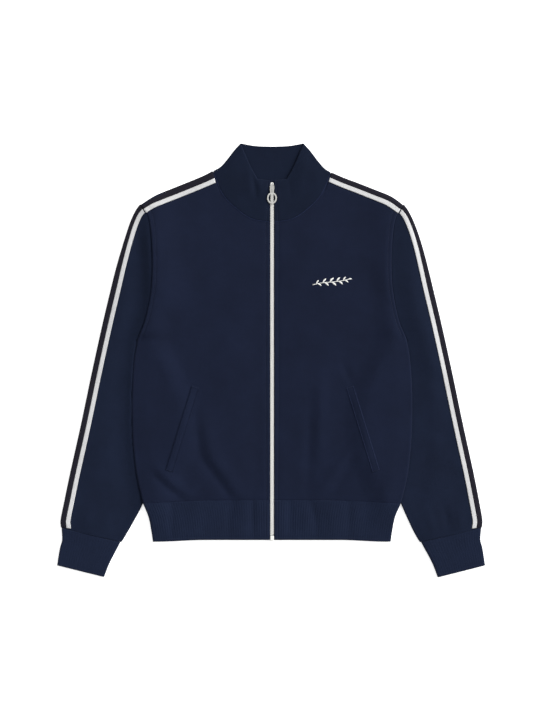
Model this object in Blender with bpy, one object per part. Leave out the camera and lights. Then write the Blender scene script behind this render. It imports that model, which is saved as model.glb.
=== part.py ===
"""A fine-knit zip cardigan with a stand collar, striped sleeves and ribbed cuffs and waistband, laid flat.

The garment lies on its back on the plane z = 0, its collar towards +Y. The wearer's left is at +X. The
origin is on that plane, below the middle of the whole outline. Sizes are in millimetres until a mesh is
made. A place on the garment is (out, up): millimetres from the zip's centre line, and above the hem.
"""

import math
from collections import namedtuple

import bmesh
import bpy
import numpy as np
from mathutils import Matrix, Vector
from mathutils.bvhtree import BVHTree

MM = 0.001
HEM_Y = -324.25  # the hem's place in Y, which puts the origin below the middle of the outline

# Cloth and the layers of the garment as it lies
CLOTH = 2.0  # fine double knit
RIB_CLOTH = 2.4  # the folded cloth of the collar, waistband and cuffs
SEAM = 0.3  # room between two pieces at a seam
LAY = 0.6  # room between the two layers of a sleeve
FOLD_ROUND = 1.6  # how far from a fold the cloth starts to turn
FOLD_DROP = 1.4  # how far the cloth turns down by the fold itself
EDGE_DROP = 1.2  # the same, at a sewn edge of a panel
FRONT_LOFT = 1.5  # the front's rise over the back, which the zip's tapes lie in
FRONT_PUFF = 1.2  # what the middle of a front panel adds to that
SLEEVE_PUFF = 1.4
BODY_LIFT = 2 * CLOTH + LAY + SEAM  # the body's rise over a sleeve that lies under it
ARMHOLE_STEP = 1.2  # the body's edge over the sleeve, from the seam's turned-in cloth

# Zip
ZIP_HALF = 3.3  # half the closed chain's width
FRONT_EDGE = ZIP_HALF + SEAM
ZIP_TAPE_OUT = 15.0
ZIP_TAPE = 0.8
ZIP_TAPE_Z = RIB_CLOTH + SEAM
CHAIN_Z = (2.9, 5.6)
BOX_Z = (2.8, 6.6)
STOP_Z = (2.9, 6.0)
BOX_LENGTH = 10.0
ZIP_TOP = 641.0
STOP_LENGTH = 4.5

# Waistband and the body's heights
WAISTBAND = 74.0  # height at the zip
BACK_NECK = 633.6
FRONT_NECK = 574.0
COLLAR_FRONT_TOP = 649.0
COLLAR_BACK_TOP = 707.0

# Ribs
RIB_PITCH = 4.2
RIB_RISE = 0.5
RIB_GROOVE = 0.24  # each groove's share of the pitch, on either side of its bottom
RIB_TIE = 5  # ribs over each column of a ribbed piece's plain inside
RIB_MARGIN = 3.2  # from a fold to the first rib
CUFF_ROWS = (0, 0.022, 0.5, 0.978, 1)  # shares of a cuff's length

# Columns of points across a front or half the back, of which the collar shares the first ones
NECK_COLUMNS = 7
BACK_NECK_COLUMNS = 5
SHOULDER_COLUMNS = 7
BODY_HALF = 235.0  # from the zip to the side seam, where the body is of middling width

Spot = namedtuple("Spot", "out up")
SIDE_SEAM = [
    Spot(232, 68), Spot(244, 122), Spot(250.7, 188), Spot(251.8, 264), Spot(248.2, 325), Spot(242.3, 361),
]
ARMHOLE = [
    Spot(242.3, 361), Spot(227, 400), Spot(216.2, 458), Spot(214.8, 520), Spot(220.7, 577), Spot(234.9, 604),
]
SHOULDER = [Spot(105.7, 664), Spot(139.7, 649.8), Spot(175.5, 635.4), Spot(209.7, 621), Spot(234.9, 604)]
NECKLINE = [
    Spot(FRONT_EDGE, FRONT_NECK), Spot(36, 579.6), Spot(63.5, 597.6), Spot(89, 624.6), Spot(105.7, 664),
]
BACK_NECKLINE = [Spot(0, BACK_NECK), Spot(40, 635.6), Spot(78, 645), Spot(105.7, 664)]
COLLAR_SIDE = [
    Spot(105.7, 664), Spot(93.6, 671.4), Spot(80.1, 685.8), Spot(68.4, 700.2), Spot(56.3, 713.3),
]
COLLAR_FLAT_TOP = [Spot(FRONT_EDGE, COLLAR_FRONT_TOP), Spot(26.1, 651.6)]
COLLAR_V = [Spot(26.1, 651.6), Spot(38.7, 672.5), Spot(46.8, 691.2), Spot(56.3, 713.3)]
COLLAR_BACK_EDGE = [Spot(0, COLLAR_BACK_TOP), Spot(30, 708.2), Spot(56.3, 713.3)]
SLEEVE_OUTER = [
    Spot(236.2, 605.4), Spot(245.7, 592.2), Spot(255.6, 570.6), Spot(267.3, 534.6), Spot(279.9, 491.4),
    Spot(290.7, 448.2), Spot(306, 383.4), Spot(324.9, 297), Spot(342.9, 210.6), Spot(361.8, 124.2),
    Spot(373, 67), Spot(378, 37.8), Spot(377, 24.3),
]
SLEEVE_UNDER = [  # the inner fold: under the body down to the waistband seam, then free
    Spot(242.6, 361), Spot(222, 318), Spot(196, 262), Spot(187, 212), Spot(196, 150), Spot(232, 68),
    Spot(247.5, 37.8), Spot(268.2, 1.8), Spot(272.5, -1.8),
]
SLEEVE_ACROSS_ARMPIT = 242.0  # along the outer fold, where the section through the armpit meets it
CUFF_OUTER = [Spot(376.6, 23.9), Spot(375.3, 1.8), Spot(378.9, -12.6), Spot(383.8, -43.7)]
CUFF_INNER = [Spot(272.8, -2.1), Spot(278, -12.6), Spot(292.5, -41.4), Spot(301.5, -64.8)]
WAISTBAND_SIDE = [Spot(215.5, 0), Spot(222.5, 30), Spot(232, 68)]

# Stripes: each lies between two distances in from the shoulder line or the sleeve's outer fold
Stripe = namedtuple("Stripe", "near far")
SHOULDER_BAND, SHOULDER_TAPE = Stripe(2.6, 11.5), Stripe(11.8, 20.3)
SLEEVE_BAND, SLEEVE_TAPE = Stripe(2.6, 8.5), Stripe(8.8, 17.3)
STRIPE_CLOTH = 1.0
STRIPE_START = 2.0  # each stripe ends this far short of its route's ends
# How much further along a stripe's ends lie, for each millimetre in from the edge, to follow the seams
NECK_SLANT, POINT_SLANT = 0.117, 0.1
SLEEVE_SLANT, CUFF_SLANT = 0.55, 0.25

# Pocket openings
WELT_LOW, WELT_HIGH = Spot(186, 132), Spot(140.7, 278)
WELT_WIDTH = 15.5
WELT_CLOTH = 1.0

# Soft creases pressed into the fronts: the places each runs through, its width and its depth
Crease = namedtuple("Crease", "spots width depth")
CREASES = [
    Crease([Spot(-129, 212), Spot(-117.5, 158), Spot(-98, 126), Spot(-62, 81)], 16, 1.9),
    Crease([Spot(-204, 126), Spot(-189, 103), Spot(-170, 81)], 15, 1.3),
    Crease([Spot(74, 247), Spot(73, 165), Spot(72, 85)], 20, 1.3),
    Crease([Spot(145, 164), Spot(97, 104), Spot(72, 85)], 14, 1.2),
    Crease([Spot(86, 295), Spot(86, 158)], 18, -0.6),
]

# Slider and pull
HINGE_UP = -HEM_Y  # the origin's place above the hem, where the pull is modelled before it is moved
PULL_AXIS_UP = 631.5
PLATE_Z = (5.9, 7.5)
PLATE_UP = (627.6, 640.6)
PLATE_HALF = 4.2
BAIL_HALF = 1.1
BAIL_ROOM = 0.4
BAIL_THICK = 1.4
BAR_R = 0.8
PULL_AXIS_Z = PLATE_Z[1] + BAIL_ROOM + BAR_R
PULL_LENGTH = 25.0
PULL_WIDTH = 17.5
PULL_RIM = 2.6
PULL_BAR = 4.6
PULL_THICK = 1.6
PULL_NECK = 4.2  # from the hinge to the oval, which swings clear over the bail
PULL_NECK_HALF = 3.2
PULL_TILT_DEG = 3.0

NAVY, NAVY_RIB, INSIDE = "#1d2335", "#1f2638", "#1b2133"
CHARCOAL, WHITE, ZIP_WHITE, NICKEL = "#262629", "#dcdcd9", "#e0e0de", "#c9c9c6"


# Curves and smooth steps

def smooth(t):
    t = np.clip(t, 0.0, 1.0)
    return t * t * (3.0 - 2.0 * t)


def fine(spots, steps=8):
    """A smooth curve through the spots, as points close together."""
    p = np.array(spots, float)
    p = np.vstack([2 * p[0] - p[1], p, 2 * p[-1] - p[-2]])
    t = np.linspace(0, 1, steps, endpoint=False)[:, None]
    found = []
    for a, b, c, d in zip(p, p[1:], p[2:], p[3:]):
        square, cube = 2 * a - 5 * b + 4 * c - d, 3 * b - a - 3 * c + d
        found.append(b + 0.5 * ((c - a) * t + square * t**2 + cube * t**3))
    return np.vstack(found + [p[-2:-1]])


class Route:
    """A line made of smooth stretches, read by the share of its length."""

    def __init__(self, *stretches):
        self.points = np.vstack([fine(spots) for spots in stretches])
        steps = np.linalg.norm(np.diff(self.points, axis=0), axis=1)
        self.far = np.concatenate([[0], np.cumsum(steps)])
        self.length = self.far[-1]

    def __call__(self, share):
        far = np.clip(share, 0, 1) * self.length
        return np.array([np.interp(far, self.far, self.points[:, i]) for i in (0, 1)])

    def inset(self, far, distance):
        """The point at this length, moved in from the line, which runs with the cloth on its right."""
        on_line = min(max(far, 0.0), self.length)
        a, b = self((on_line - 1) / self.length), self((on_line + 1) / self.length)
        along = (b - a) / np.linalg.norm(b - a)
        across = np.array([along[1], -along[0]])
        return self(on_line / self.length) + (far - on_line) * along + distance * across

    def clearance(self, share):
        """A step of one seam's room to the left of the line, away from the cloth on its right."""
        return self.inset(share * self.length, -SEAM) - self(share)


def patch(bottom, right, top, left, us, vs):
    """Points between four edge routes, as rows up from the bottom: a Coons patch."""
    corner = {(i, j): (bottom, top)[j](i) for i in (0, 1) for j in (0, 1)}
    rows = []
    for v in vs:
        row = []
        for u in us:
            p = (1 - v) * bottom(u) + v * top(u) + (1 - u) * left(v) + u * right(v)
            p = p - (1 - u) * (1 - v) * corner[0, 0] - u * (1 - v) * corner[1, 0]
            row.append(p - (1 - u) * v * corner[0, 1] - u * v * corner[1, 1])
        rows.append(row)
    return np.array(rows)


# Heights of the layers

def under_fold(up):
    """How far out the hidden part of a sleeve starts, under the body."""
    spots = SLEEVE_UNDER[5::-1]
    return np.interp(up, [s.up for s in spots], [s.out for s in spots])


def armhole_out(up):
    return np.interp(up, [s.up for s in ARMHOLE], [s.out for s in ARMHOLE])


def lift(out, up):
    """How high the body's back lies: over the sleeves at its sides, and on the ground elsewhere."""
    out = abs(out)
    over_sleeve = smooth((out - under_fold(up) + 63) / 45) * smooth(up / 62)
    over_sleeve *= 1 - smooth((up - 376) / 70)
    by_seam = smooth((out - armhole_out(up) + 25) / 20) * smooth((up - 300) / 60)
    by_seam *= 1 - smooth((up - 560) / 36)
    return max(BODY_LIFT * over_sleeve, ARMHOLE_STEP * by_seam)


def crease_depth(out, up):
    depth = 0.0
    for crease in CREASES:
        line = fine(crease.spots, 10)
        away = np.linalg.norm(line - (out, up), axis=1)
        nearest = int(away.argmin())
        ends = math.sin(math.pi * (0.12 + 0.76 * nearest / (len(line) - 1)))
        depth += crease.depth * ends * math.exp(-((away[nearest] / crease.width) ** 2))
    return depth


def front_rise(out, up, from_side, from_top):
    """The front's height over the back: nothing at the side and shoulder, and its loft inside them."""
    loft = FRONT_LOFT * smooth(from_side / 30) * smooth(from_top / 26)
    across = smooth(from_side / 90) * smooth((abs(out) - 12) / 60)
    puff = FRONT_PUFF * across * smooth((up - 90) / 70) * smooth((600 - up) / 90)
    return SEAM + loft + puff - smooth((up - WAISTBAND) / 20) * crease_depth(out, up)


# Making solids

def colour(hex_colour):
    """An sRGB hex colour as linear red, green, blue and alpha."""
    parts = [int(hex_colour[i:i + 2], 16) / 255 for i in (1, 3, 5)]
    return [c / 12.92 if c <= 0.04045 else ((c + 0.055) / 1.055) ** 2.4 for c in parts] + [1.0]


def finish(name, hex_colour, roughness, metallic=0.0):
    material = bpy.data.materials.get(name)
    if material is None:
        material = bpy.data.materials.new(name)
        material.use_nodes = True
        shader = material.node_tree.nodes["Principled BSDF"]
        shader.inputs["Base Color"].default_value = colour(hex_colour)
        shader.inputs["Roughness"].default_value = roughness
        shader.inputs["Metallic"].default_value = metallic
        material.diffuse_color = colour(hex_colour)
    return material


def knit(name, hex_colour):
    return finish(name, hex_colour, 0.9)


def world(out, up, z):
    return Vector((out * MM, (up + HEM_Y) * MM, z * MM))


def add_object(name, bm, material):
    bmesh.ops.recalc_face_normals(bm, faces=bm.faces)
    mesh = bpy.data.meshes.new(name)
    bm.to_mesh(mesh)
    bm.free()
    mesh.materials.append(material)
    mesh.shade_smooth()
    mesh.set_sharp_from_angle(angle=math.radians(35))
    obj = bpy.data.objects.new(name, mesh)
    bpy.context.scene.collection.objects.link(obj)
    return obj


def cloth(name, outer, inner, material, ties=None, closed_from=None):
    """One closed wall of cloth between two sets of rows of (out, up, z) points.

    ties names the outer column over each inner column. From the row closed_from on, the last column meets
    the first, as it does all the way round a cuff, and below the armhole in a sleeve.
    """
    bm = bmesh.new()
    over = [[bm.verts.new(world(*p)) for p in row] for row in outer]
    below = [[bm.verts.new(world(*p)) for p in row] for row in inner]
    ties = list(range(len(over[0]))) if ties is None else ties
    rows = len(over)
    for sheet in (over, below):
        for low, high in zip(sheet, sheet[1:]):
            for i in range(len(low) - 1):
                bm.faces.new((low[i], low[i + 1], high[i + 1], high[i]))
    for end in (0, rows - 1):
        edge_rim(bm, over[end], below[end], ties)
    for j in range(rows - 1):
        if closed_from is not None and j >= closed_from:
            for sheet in (over, below):
                bm.faces.new((sheet[j][-1], sheet[j][0], sheet[j + 1][0], sheet[j + 1][-1]))
            continue
        for side in (0, -1):
            bm.faces.new((over[j][side], over[j + 1][side], below[j + 1][side], below[j][side]))
    if closed_from is not None:
        for j in {closed_from, rows - 1}:
            bm.faces.new((over[j][0], over[j][-1], below[j][-1], below[j][0]))
    return add_object(name, bm, material)


def edge_rim(bm, over, below, ties):
    """Closes the wall along one end row: a fan of faces from each inner point to the outer points by it."""
    for k in range(len(ties) - 1):
        first, last = ties[k], ties[k + 1]
        middle = (first + last + 1) // 2
        for i in range(first, middle):
            bm.faces.new((below[k], over[i], over[i + 1]))
        bm.faces.new((below[k], over[middle], below[k + 1]))
        for i in range(middle, last):
            bm.faces.new((below[k + 1], over[i], over[i + 1]))


def mirrored(points):
    return [[(-out, up, z) for out, up, z in row] for row in points]


# Panels

TOP_EDGE = Route(NECKLINE, SHOULDER)
SIDE_EDGE = Route(SIDE_SEAM, ARMHOLE)
NECK_SHARE = Route(NECKLINE).length / TOP_EDGE.length
ARMPIT_SHARE = Route(SIDE_SEAM).length / SIDE_EDGE.length
PANEL_ROWS = np.concatenate([
    [0, FOLD_ROUND / SIDE_EDGE.length],
    np.linspace(0, ARMPIT_SHARE, 13)[1:],
    np.linspace(ARMPIT_SHARE, 1, 9)[1:-1],
    [1 - FOLD_ROUND / SIDE_EDGE.length, 1],
])
ARMPIT_ROW = int(np.argmin(abs(PANEL_ROWS - ARMPIT_SHARE)))


def hem_edge(start):
    return Route([Spot(start, WAISTBAND + SEAM), Spot(120, WAISTBAND - 1 + SEAM), Spot(232, 68 + SEAM)])


def columns(neck_share, neck_columns):
    """Shares across half the body: one column by the side seam's fold, and one at each of the collar's."""
    by_neck = np.linspace(0, neck_share, neck_columns + 1)
    by_shoulder = np.linspace(neck_share, 1, SHOULDER_COLUMNS + 1)[1:-1]
    return np.concatenate([by_neck, by_shoulder, [1 - FOLD_ROUND / BODY_HALF, 1]])


def edged(plan, top, bottom, turned):
    """The outer and inner points of a panel, with its outer face turned down along the edges."""
    outer, inner = [], []
    rows, many = plan.shape[:2]
    for j in range(rows):
        outer.append([])
        inner.append([])
        for i in range(many):
            by_edge = j in (0, rows - 1) or i in turned
            outer[-1].append((*plan[j, i], top[j][i] - by_edge * EDGE_DROP))
            inner[-1].append((*plan[j, i], bottom[j][i]))
    return outer, inner


def make_front(name, side):
    us = np.insert(columns(NECK_SHARE, NECK_COLUMNS), 1, FOLD_ROUND / BODY_HALF)
    left = Route([Spot(FRONT_EDGE, WAISTBAND + SEAM), Spot(FRONT_EDGE, FRONT_NECK)])
    plan = patch(hem_edge(FRONT_EDGE), SIDE_EDGE, TOP_EDGE, left, us, PANEL_ROWS)
    bottom, top = [], []
    for v, row in zip(PANEL_ROWS, plan):
        bottom.append([])
        for u, (out, up) in zip(us, row):
            from_top = (1 - v) * SIDE_EDGE.length if u > NECK_SHARE else BODY_HALF
            rise = front_rise(side * out, up, (1 - u) * BODY_HALF, from_top)
            bottom[-1].append(lift(out, up) + CLOTH + rise)
        top.append([z + CLOTH for z in bottom[-1]])
    outer, inner = edged(plan, top, bottom, (0, len(us) - 1))
    if side < 0:
        outer, inner = mirrored(outer), mirrored(inner)
    return cloth(name, outer, inner, knit("navy_double_knit", NAVY))


def make_back():
    top_edge = Route(BACK_NECKLINE, SHOULDER)
    share = Route(BACK_NECKLINE).length / top_edge.length
    us = columns(share, BACK_NECK_COLUMNS)
    left = Route([Spot(0, WAISTBAND + SEAM), Spot(0, BACK_NECK)])
    half = patch(hem_edge(0), SIDE_EDGE, top_edge, left, us, PANEL_ROWS)
    whole = np.concatenate([half[:, :0:-1] * (-1, 1), half], axis=1)
    ground = [[lift(out, up) for out, up in row] for row in whole]
    inner = [[(*p, z + CLOTH) for p, z in zip(row, zs)] for row, zs in zip(whole, ground)]
    outer = []
    last_row, last = len(whole) - 1, len(whole[0]) - 1
    for j, (row, zs) in enumerate(zip(whole, ground)):
        turned = [EDGE_DROP * (j in (0, last_row) or i in (0, last)) for i in range(last + 1)]
        outer.append([(*p, z + turn) for p, z, turn in zip(row, zs, turned)])
    return cloth("back", outer, inner, knit("navy_double_knit", NAVY))


# Pieces that go round a fold

Layers = namedtuple("Layers", "floor back_top front_bottom front_top")


def toward(a, b, distance):
    step = np.subtract(b, a)
    return np.add(a, step * (distance / max(np.linalg.norm(step), 1e-9)))


def round_fold(edge, over, under, layers, wall, reach=FOLD_ROUND):
    """Outer and inner points round a fold, from the front layer (towards over) to the back layer."""
    drop = FOLD_DROP * reach / FOLD_ROUND
    outer = [
        (*toward(edge, over, reach), layers.front_top), (*edge, layers.front_top - drop),
        (*edge, layers.floor + drop), (*toward(edge, under, reach), layers.floor),
    ]
    inner = [
        (*toward(edge, over, wall + 0.75 * reach), layers.front_bottom),
        (*toward(edge, over, wall), layers.front_bottom),
        (*toward(edge, under, wall), layers.back_top),
        (*toward(edge, under, wall + 0.75 * reach), layers.back_top),
    ]
    return outer, inner


def sleeve_sections():
    """Each section's inner edge and outer fold, from the sleeve's head down, and the armpit's index."""
    outer_fold, under = Route(SLEEVE_OUTER), Route(SLEEVE_UNDER)
    share = SLEEVE_ACROSS_ARMPIT / outer_fold.length
    rows = PANEL_ROWS[ARMPIT_ROW:][::-1]
    armhole = [SIDE_EDGE(v) for v in rows]
    sewn, down = [], []
    for i in range(1, len(rows) - 1):
        along = (armhole[i + 1] - armhole[i - 1]) / np.linalg.norm(armhole[i + 1] - armhole[i - 1])
        sewn.append(armhole[i] + SEAM * np.array([-along[1], along[0]]))
        down.append((1 - rows[i]) / (1 - ARMPIT_SHARE))
    ends = []
    last = len(sewn) - 1
    for place in (*np.arange(0, 3, 0.34), *range(3, last + 1)):
        i = min(int(place), last - 1)
        part = place - i
        inner_end = sewn[i] + part * (sewn[i + 1] - sewn[i])
        ends.append((inner_end, outer_fold(share * (down[i] + part * (down[i + 1] - down[i])))))
    armpit = len(ends)
    for below in (*np.linspace(0, 0.9, 10), 0.96, 1):
        ends.append((under(below), outer_fold(share + (1 - share) * below)))
    return ends, armpit


def body_edge_out(up):
    spots = SIDE_SEAM + ARMHOLE[1:]
    return np.interp(up, [s.up for s in spots], [s.out for s in spots])


def sleeve_rise(p, across):
    """A sleeve's loft, with none where the body lies on it."""
    clear = smooth((p[0] - body_edge_out(p[1]) - 24) / 30)
    return SLEEVE_PUFF * clear * math.sin(math.pi * across) ** 0.5


def make_sleeve(name, side):
    ends, armpit = sleeve_sections()
    front_shares = (0.16, 0.33, 0.5, 0.67, 0.84)
    back_shares = (0.7, 0.35)
    outer, inner = [], []
    for j, (near, far) in enumerate(ends):
        width = np.linalg.norm(far - near)
        reach = min(FOLD_ROUND, 0.2 * width)
        wall = min(CLOTH, 0.3 * width)
        layers = Layers(0, CLOTH, CLOTH + LAY, 2 * CLOTH + LAY)
        start = toward(near, far, reach)
        row_out = [(*near, layers.front_top - FOLD_DROP * reach / FOLD_ROUND), (*start, layers.front_top)]
        if j < armpit:
            row_in = [(*near, layers.front_bottom), (*start, layers.front_bottom)]
        else:
            row_in = [(*toward(near, far, wall), layers.front_bottom)]
            row_in.append((*toward(near, far, wall + 0.75 * reach), layers.front_bottom))
        for share in front_shares:
            p = near + share * (far - near)
            rise = sleeve_rise(p, share)
            row_out.append((*p, layers.front_top + rise))
            row_in.append((*p, layers.front_bottom + rise))
        fold_out, fold_in = round_fold(far, near, near, layers, wall, reach)
        row_out += fold_out
        row_in += fold_in
        for share in back_shares:
            p = near + share * (far - near)
            row_out.append((*p, 0))
            row_in.append((*p, CLOTH))
        row_out += [(*start, 0), (*near, FOLD_DROP * reach / FOLD_ROUND)]
        inset = (reach, 0) if j < armpit else (wall + 0.75 * reach, wall)
        row_in += [(*toward(near, far, d), CLOTH) for d in inset]
        outer.append(row_out)
        inner.append(row_in)
    if side < 0:
        outer, inner = mirrored(outer), mirrored(inner)
    return cloth(name, outer, inner, knit("navy_double_knit", NAVY), closed_from=armpit)


def rib_marks(count):
    """Shares across a ribbed stretch with the height of each: two shoulders and a groove for each rib."""
    marks = []
    for i in range(count):
        marks += [((i + RIB_GROOVE) / count, RIB_RISE), ((i + 1 - RIB_GROOVE) / count, RIB_RISE)]
        marks.append(((i + 1) / count, 0.0))
    return marks[:-1]


def ties_over(ribbed_from, ribbed_to, total):
    """The outer column over each inner column: one for each few ribs, and one for one elsewhere."""
    ribbed = list(range(ribbed_from, ribbed_to, 3 * RIB_TIE))
    return list(range(ribbed_from)) + ribbed + list(range(ribbed_to, total))


def make_cuff(name, side):
    outer_side, inner_side = Route(CUFF_OUTER), Route(CUFF_INNER)
    marks = rib_marks(round(np.linalg.norm(outer_side(0.5) - inner_side(0.5)) / RIB_PITCH))
    outer, inner = [], []
    layers = Layers(0, RIB_CLOTH, RIB_CLOTH + LAY, 2 * RIB_CLOTH + LAY)
    for v, by_edge in zip(CUFF_ROWS, (1, 0, 0, 0, 1)):
        near, far = inner_side(v), outer_side(v)
        down = by_edge * EDGE_DROP
        start = toward(near, far, FOLD_ROUND)
        fold_out, fold_in = round_fold(far, near, near, layers, RIB_CLOTH)
        first, last = (toward(near, far, RIB_MARGIN), toward(far, near, RIB_MARGIN))
        ribbed = [(first + share * (last - first), rise) for share, rise in marks]
        thirds = [near + share * (far - near) for share in (0.66, 0.33)]
        row = [(*near, layers.front_top - FOLD_DROP), (*start, layers.front_top - down)]
        row += [(*p, layers.front_top + rise - down) for p, rise in ribbed]
        row += [(*fold_out[0][:2], layers.front_top - down), *fold_out[1:3], (*fold_out[3][:2], down)]
        outer.append(row + [(*p, down) for p in (*thirds, start)] + [(*near, FOLD_DROP)])
        turn = [toward(near, far, d) for d in (RIB_CLOTH, 1.5 * RIB_CLOTH)]
        plain = [(*p, layers.front_bottom) for p in turn]
        plain += [(*p, layers.front_bottom) for p, _ in ribbed[::3 * RIB_TIE]]
        inner.append(plain + fold_in + [(*p, RIB_CLOTH) for p in (*thirds, *turn[::-1])])
    if side < 0:
        outer, inner = mirrored(outer), mirrored(inner)
    ties = ties_over(2, 2 + len(marks), len(outer[0]))
    return cloth(name, outer, inner, knit("navy_rib_knit", NAVY_RIB), ties=ties, closed_from=0)


def make_waistband():
    """The ribbed strip round the hem, from one side of the zip round the back to the other."""
    side_edge = Route(WAISTBAND_SIDE)
    marks = rib_marks(round((side_edge(0)[0] - FRONT_EDGE) / RIB_PITCH))
    outer, inner = [], []
    for up, by_edge in ((0, 1), (FOLD_ROUND, 0), (WAISTBAND, 0)):
        share = up / WAISTBAND
        fold = side_edge(share)
        level = Route([Spot(0, up), Spot(fold[0] * 0.5, up - share), Spot(*fold)])
        half_out, half_in = waistband_front(level, fold, by_edge, marks)
        back_out, back_in = [], []
        for across in (0.66, 0.33):
            p = level(across)
            ground = lift(*p)
            back_out.append((*p, ground + by_edge * EDGE_DROP))
            back_in.append((*p, ground + RIB_CLOTH))
        middle_out = [(0, up, by_edge * EDGE_DROP)]
        middle_in = [(0, up, RIB_CLOTH)]
        far_out, far_in = half_out + back_out, half_in + back_in
        outer.append(far_out + middle_out + [(-x, y, z) for x, y, z in far_out[::-1]])
        inner.append(far_in + middle_in + [(-x, y, z) for x, y, z in far_in[::-1]])
    total, ribbed = len(outer[0]), 1 + len(marks)
    half_ties = ties_over(1, ribbed, total // 2 + 1)
    ties = half_ties + [total - 1 - i for i in half_ties[-2::-1]]
    return cloth("waistband", outer, inner, knit("navy_rib_knit", NAVY_RIB), ties=ties)


def waistband_front(level, fold, by_edge, marks):
    """One front half of the waistband at one height, from the zip to just round the side fold."""
    half_out, half_in = [], []
    start, end = FRONT_EDGE / level.length, 1 - RIB_MARGIN / level.length
    for share, rise in [(0.0, -EDGE_DROP)] + marks:
        p = level(start + share * (end - start))
        z = waistband_front_z(p, fold[0])
        down = EDGE_DROP if by_edge and share > 0 else 0.0
        half_out.append((*p, z + RIB_CLOTH + rise - down))
        half_in.append((*p, z))
    half_in = [half_in[i] for i in ties_over(1, 1 + len(marks), 1 + len(marks))]
    ground = lift(*fold)
    layers = Layers(ground, ground + RIB_CLOTH, ground + RIB_CLOTH + SEAM, ground + 2 * RIB_CLOTH + SEAM)
    fold_out, fold_in = round_fold(fold, (0, fold[1]), (0, fold[1]), layers, RIB_CLOTH)
    if by_edge:
        fold_out[0] = (*fold_out[0][:2], layers.front_top - EDGE_DROP)
        fold_out[3] = (*fold_out[3][:2], layers.floor + EDGE_DROP)
    return half_out + fold_out, half_in + fold_in


def waistband_front_z(p, fold_out):
    return lift(*p) + RIB_CLOTH + SEAM + (FRONT_LOFT - RIB_CLOTH + CLOTH) * smooth((fold_out - p[0]) / 40)


def make_collar():
    """The stand collar, flattened: its back, whose inside shows, and a front on each side of the zip."""
    vs = (0, 0.022, 0.25, 0.5, 0.75, 0.978, 1)
    seam, top = Route(NECKLINE), Route(COLLAR_FLAT_TOP, COLLAR_V)
    back_seam, back_top = Route(BACK_NECKLINE), Route(COLLAR_BACK_EDGE)
    flat = Route(COLLAR_FLAT_TOP).length / top.length
    zip_edge = Route([Spot(FRONT_EDGE, FRONT_NECK), Spot(FRONT_EDGE, COLLAR_FRONT_TOP)])
    middle = Route([Spot(0, BACK_NECK), Spot(0, COLLAR_BACK_TOP)])
    fold_line = Route(COLLAR_SIDE)
    corner = 2 / NECK_COLUMNS  # the column that runs up to the corner of the V
    us = (0, FOLD_ROUND / seam.length, *np.linspace(0, 1, NECK_COLUMNS + 1)[1:])
    top_edge = lambda u: top(np.interp(u, (0, corner, 1), (0, flat, 1)))
    front = patch(seam, fold_line, top_edge, zip_edge, us, vs)
    back_us = np.linspace(0, 1, BACK_NECK_COLUMNS + 1)
    back = patch(back_seam, fold_line, back_top, middle, back_us, vs)
    outer, inner = [], []
    for j, v in enumerate(vs):
        by_edge = EDGE_DROP * (j in (0, len(vs) - 1))
        near_seam = (1 - v) ** 4
        half_out, half_in = [], []
        for i, u in enumerate(us[:-1]):
            p = front[j, i] + near_seam * seam.clearance(u)
            z = RIB_CLOTH + SEAM + (ZIP_TAPE + SEAM) * smooth((1 - u) * seam.length / 40)
            half_out.append((*p, z + RIB_CLOTH - (EDGE_DROP if i == 0 else by_edge)))
            half_in.append((*p, z))
        layers = Layers(0, RIB_CLOTH, RIB_CLOTH + SEAM, 2 * RIB_CLOTH + SEAM)
        fold = front[j, -1] + 0.7 * near_seam * (seam.clearance(1) + back_seam.clearance(1))
        fold_out, fold_in = round_fold(fold, front[j, -2], back[j, -2], layers, RIB_CLOTH)
        low = CLOTH + SEAM if j == 0 else FOLD_DROP  # over the back's corner where the three seams meet
        half_out += [(*fold_out[0][:2], layers.front_top - by_edge), fold_out[1]]
        half_out += [(*fold_out[2][:2], low), (*fold_out[3][:2], by_edge)]
        half_in += fold_in
        for i in range(BACK_NECK_COLUMNS - 1, 0, -1):
            p = back[j, i] + near_seam * back_seam.clearance(back_us[i])
            half_out.append((*p, by_edge))
            half_in.append((*p, RIB_CLOTH))
        centre = back[j, 0] + near_seam * back_seam.clearance(0)
        outer.append(half_out + [(*centre, by_edge)] + [(-x, y, z) for x, y, z in half_out[::-1]])
        inner.append(half_in + [(*centre, RIB_CLOTH)] + [(-x, y, z) for x, y, z in half_in[::-1]])
    return cloth("collar", outer, inner, knit("navy_collar_knit", INSIDE))


# What lies on a panel

def height_of(obj):
    """Reads the height of a piece's upper face at any place, in millimetres."""
    tree = BVHTree.FromPolygons([v.co for v in obj.data.vertices], [p.vertices for p in obj.data.polygons])

    def read(out, up):
        hit = tree.ray_cast(world(out, up, 100), Vector((0, 0, -1)))[0]
        return hit.z / MM

    return read


def strip(name, edge_a, edge_b, height, thickness, material, across=(0, 1)):
    """A strip of cloth on a piece: rows between two lists of places, laid on the height below them."""
    outer, inner = [], []
    for a, b in zip(edge_a, edge_b):
        row = [a + t * (b - a) for t in across]
        ground = [height(*p) + SEAM for p in row]
        inner.append([(*p, z) for p, z in zip(row, ground)])
        outer.append([(*p, z + thickness) for p, z in zip(row, ground)])
    return cloth(name, outer, inner, material)


def stripe_edges(route, stripe, side, start_slant, end_slant, step):
    """The two edges of a stripe along a route, each cut to meet the seams at its ends."""
    edges = []
    for distance in stripe:
        first = STRIPE_START + start_slant * distance
        last = route.length - STRIPE_START + end_slant * distance
        fars = np.linspace(first, last, int(route.length / step) + 1)
        edges.append([route.inset(far, distance) * (side, 1) for far in fars])
    return edges


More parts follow.
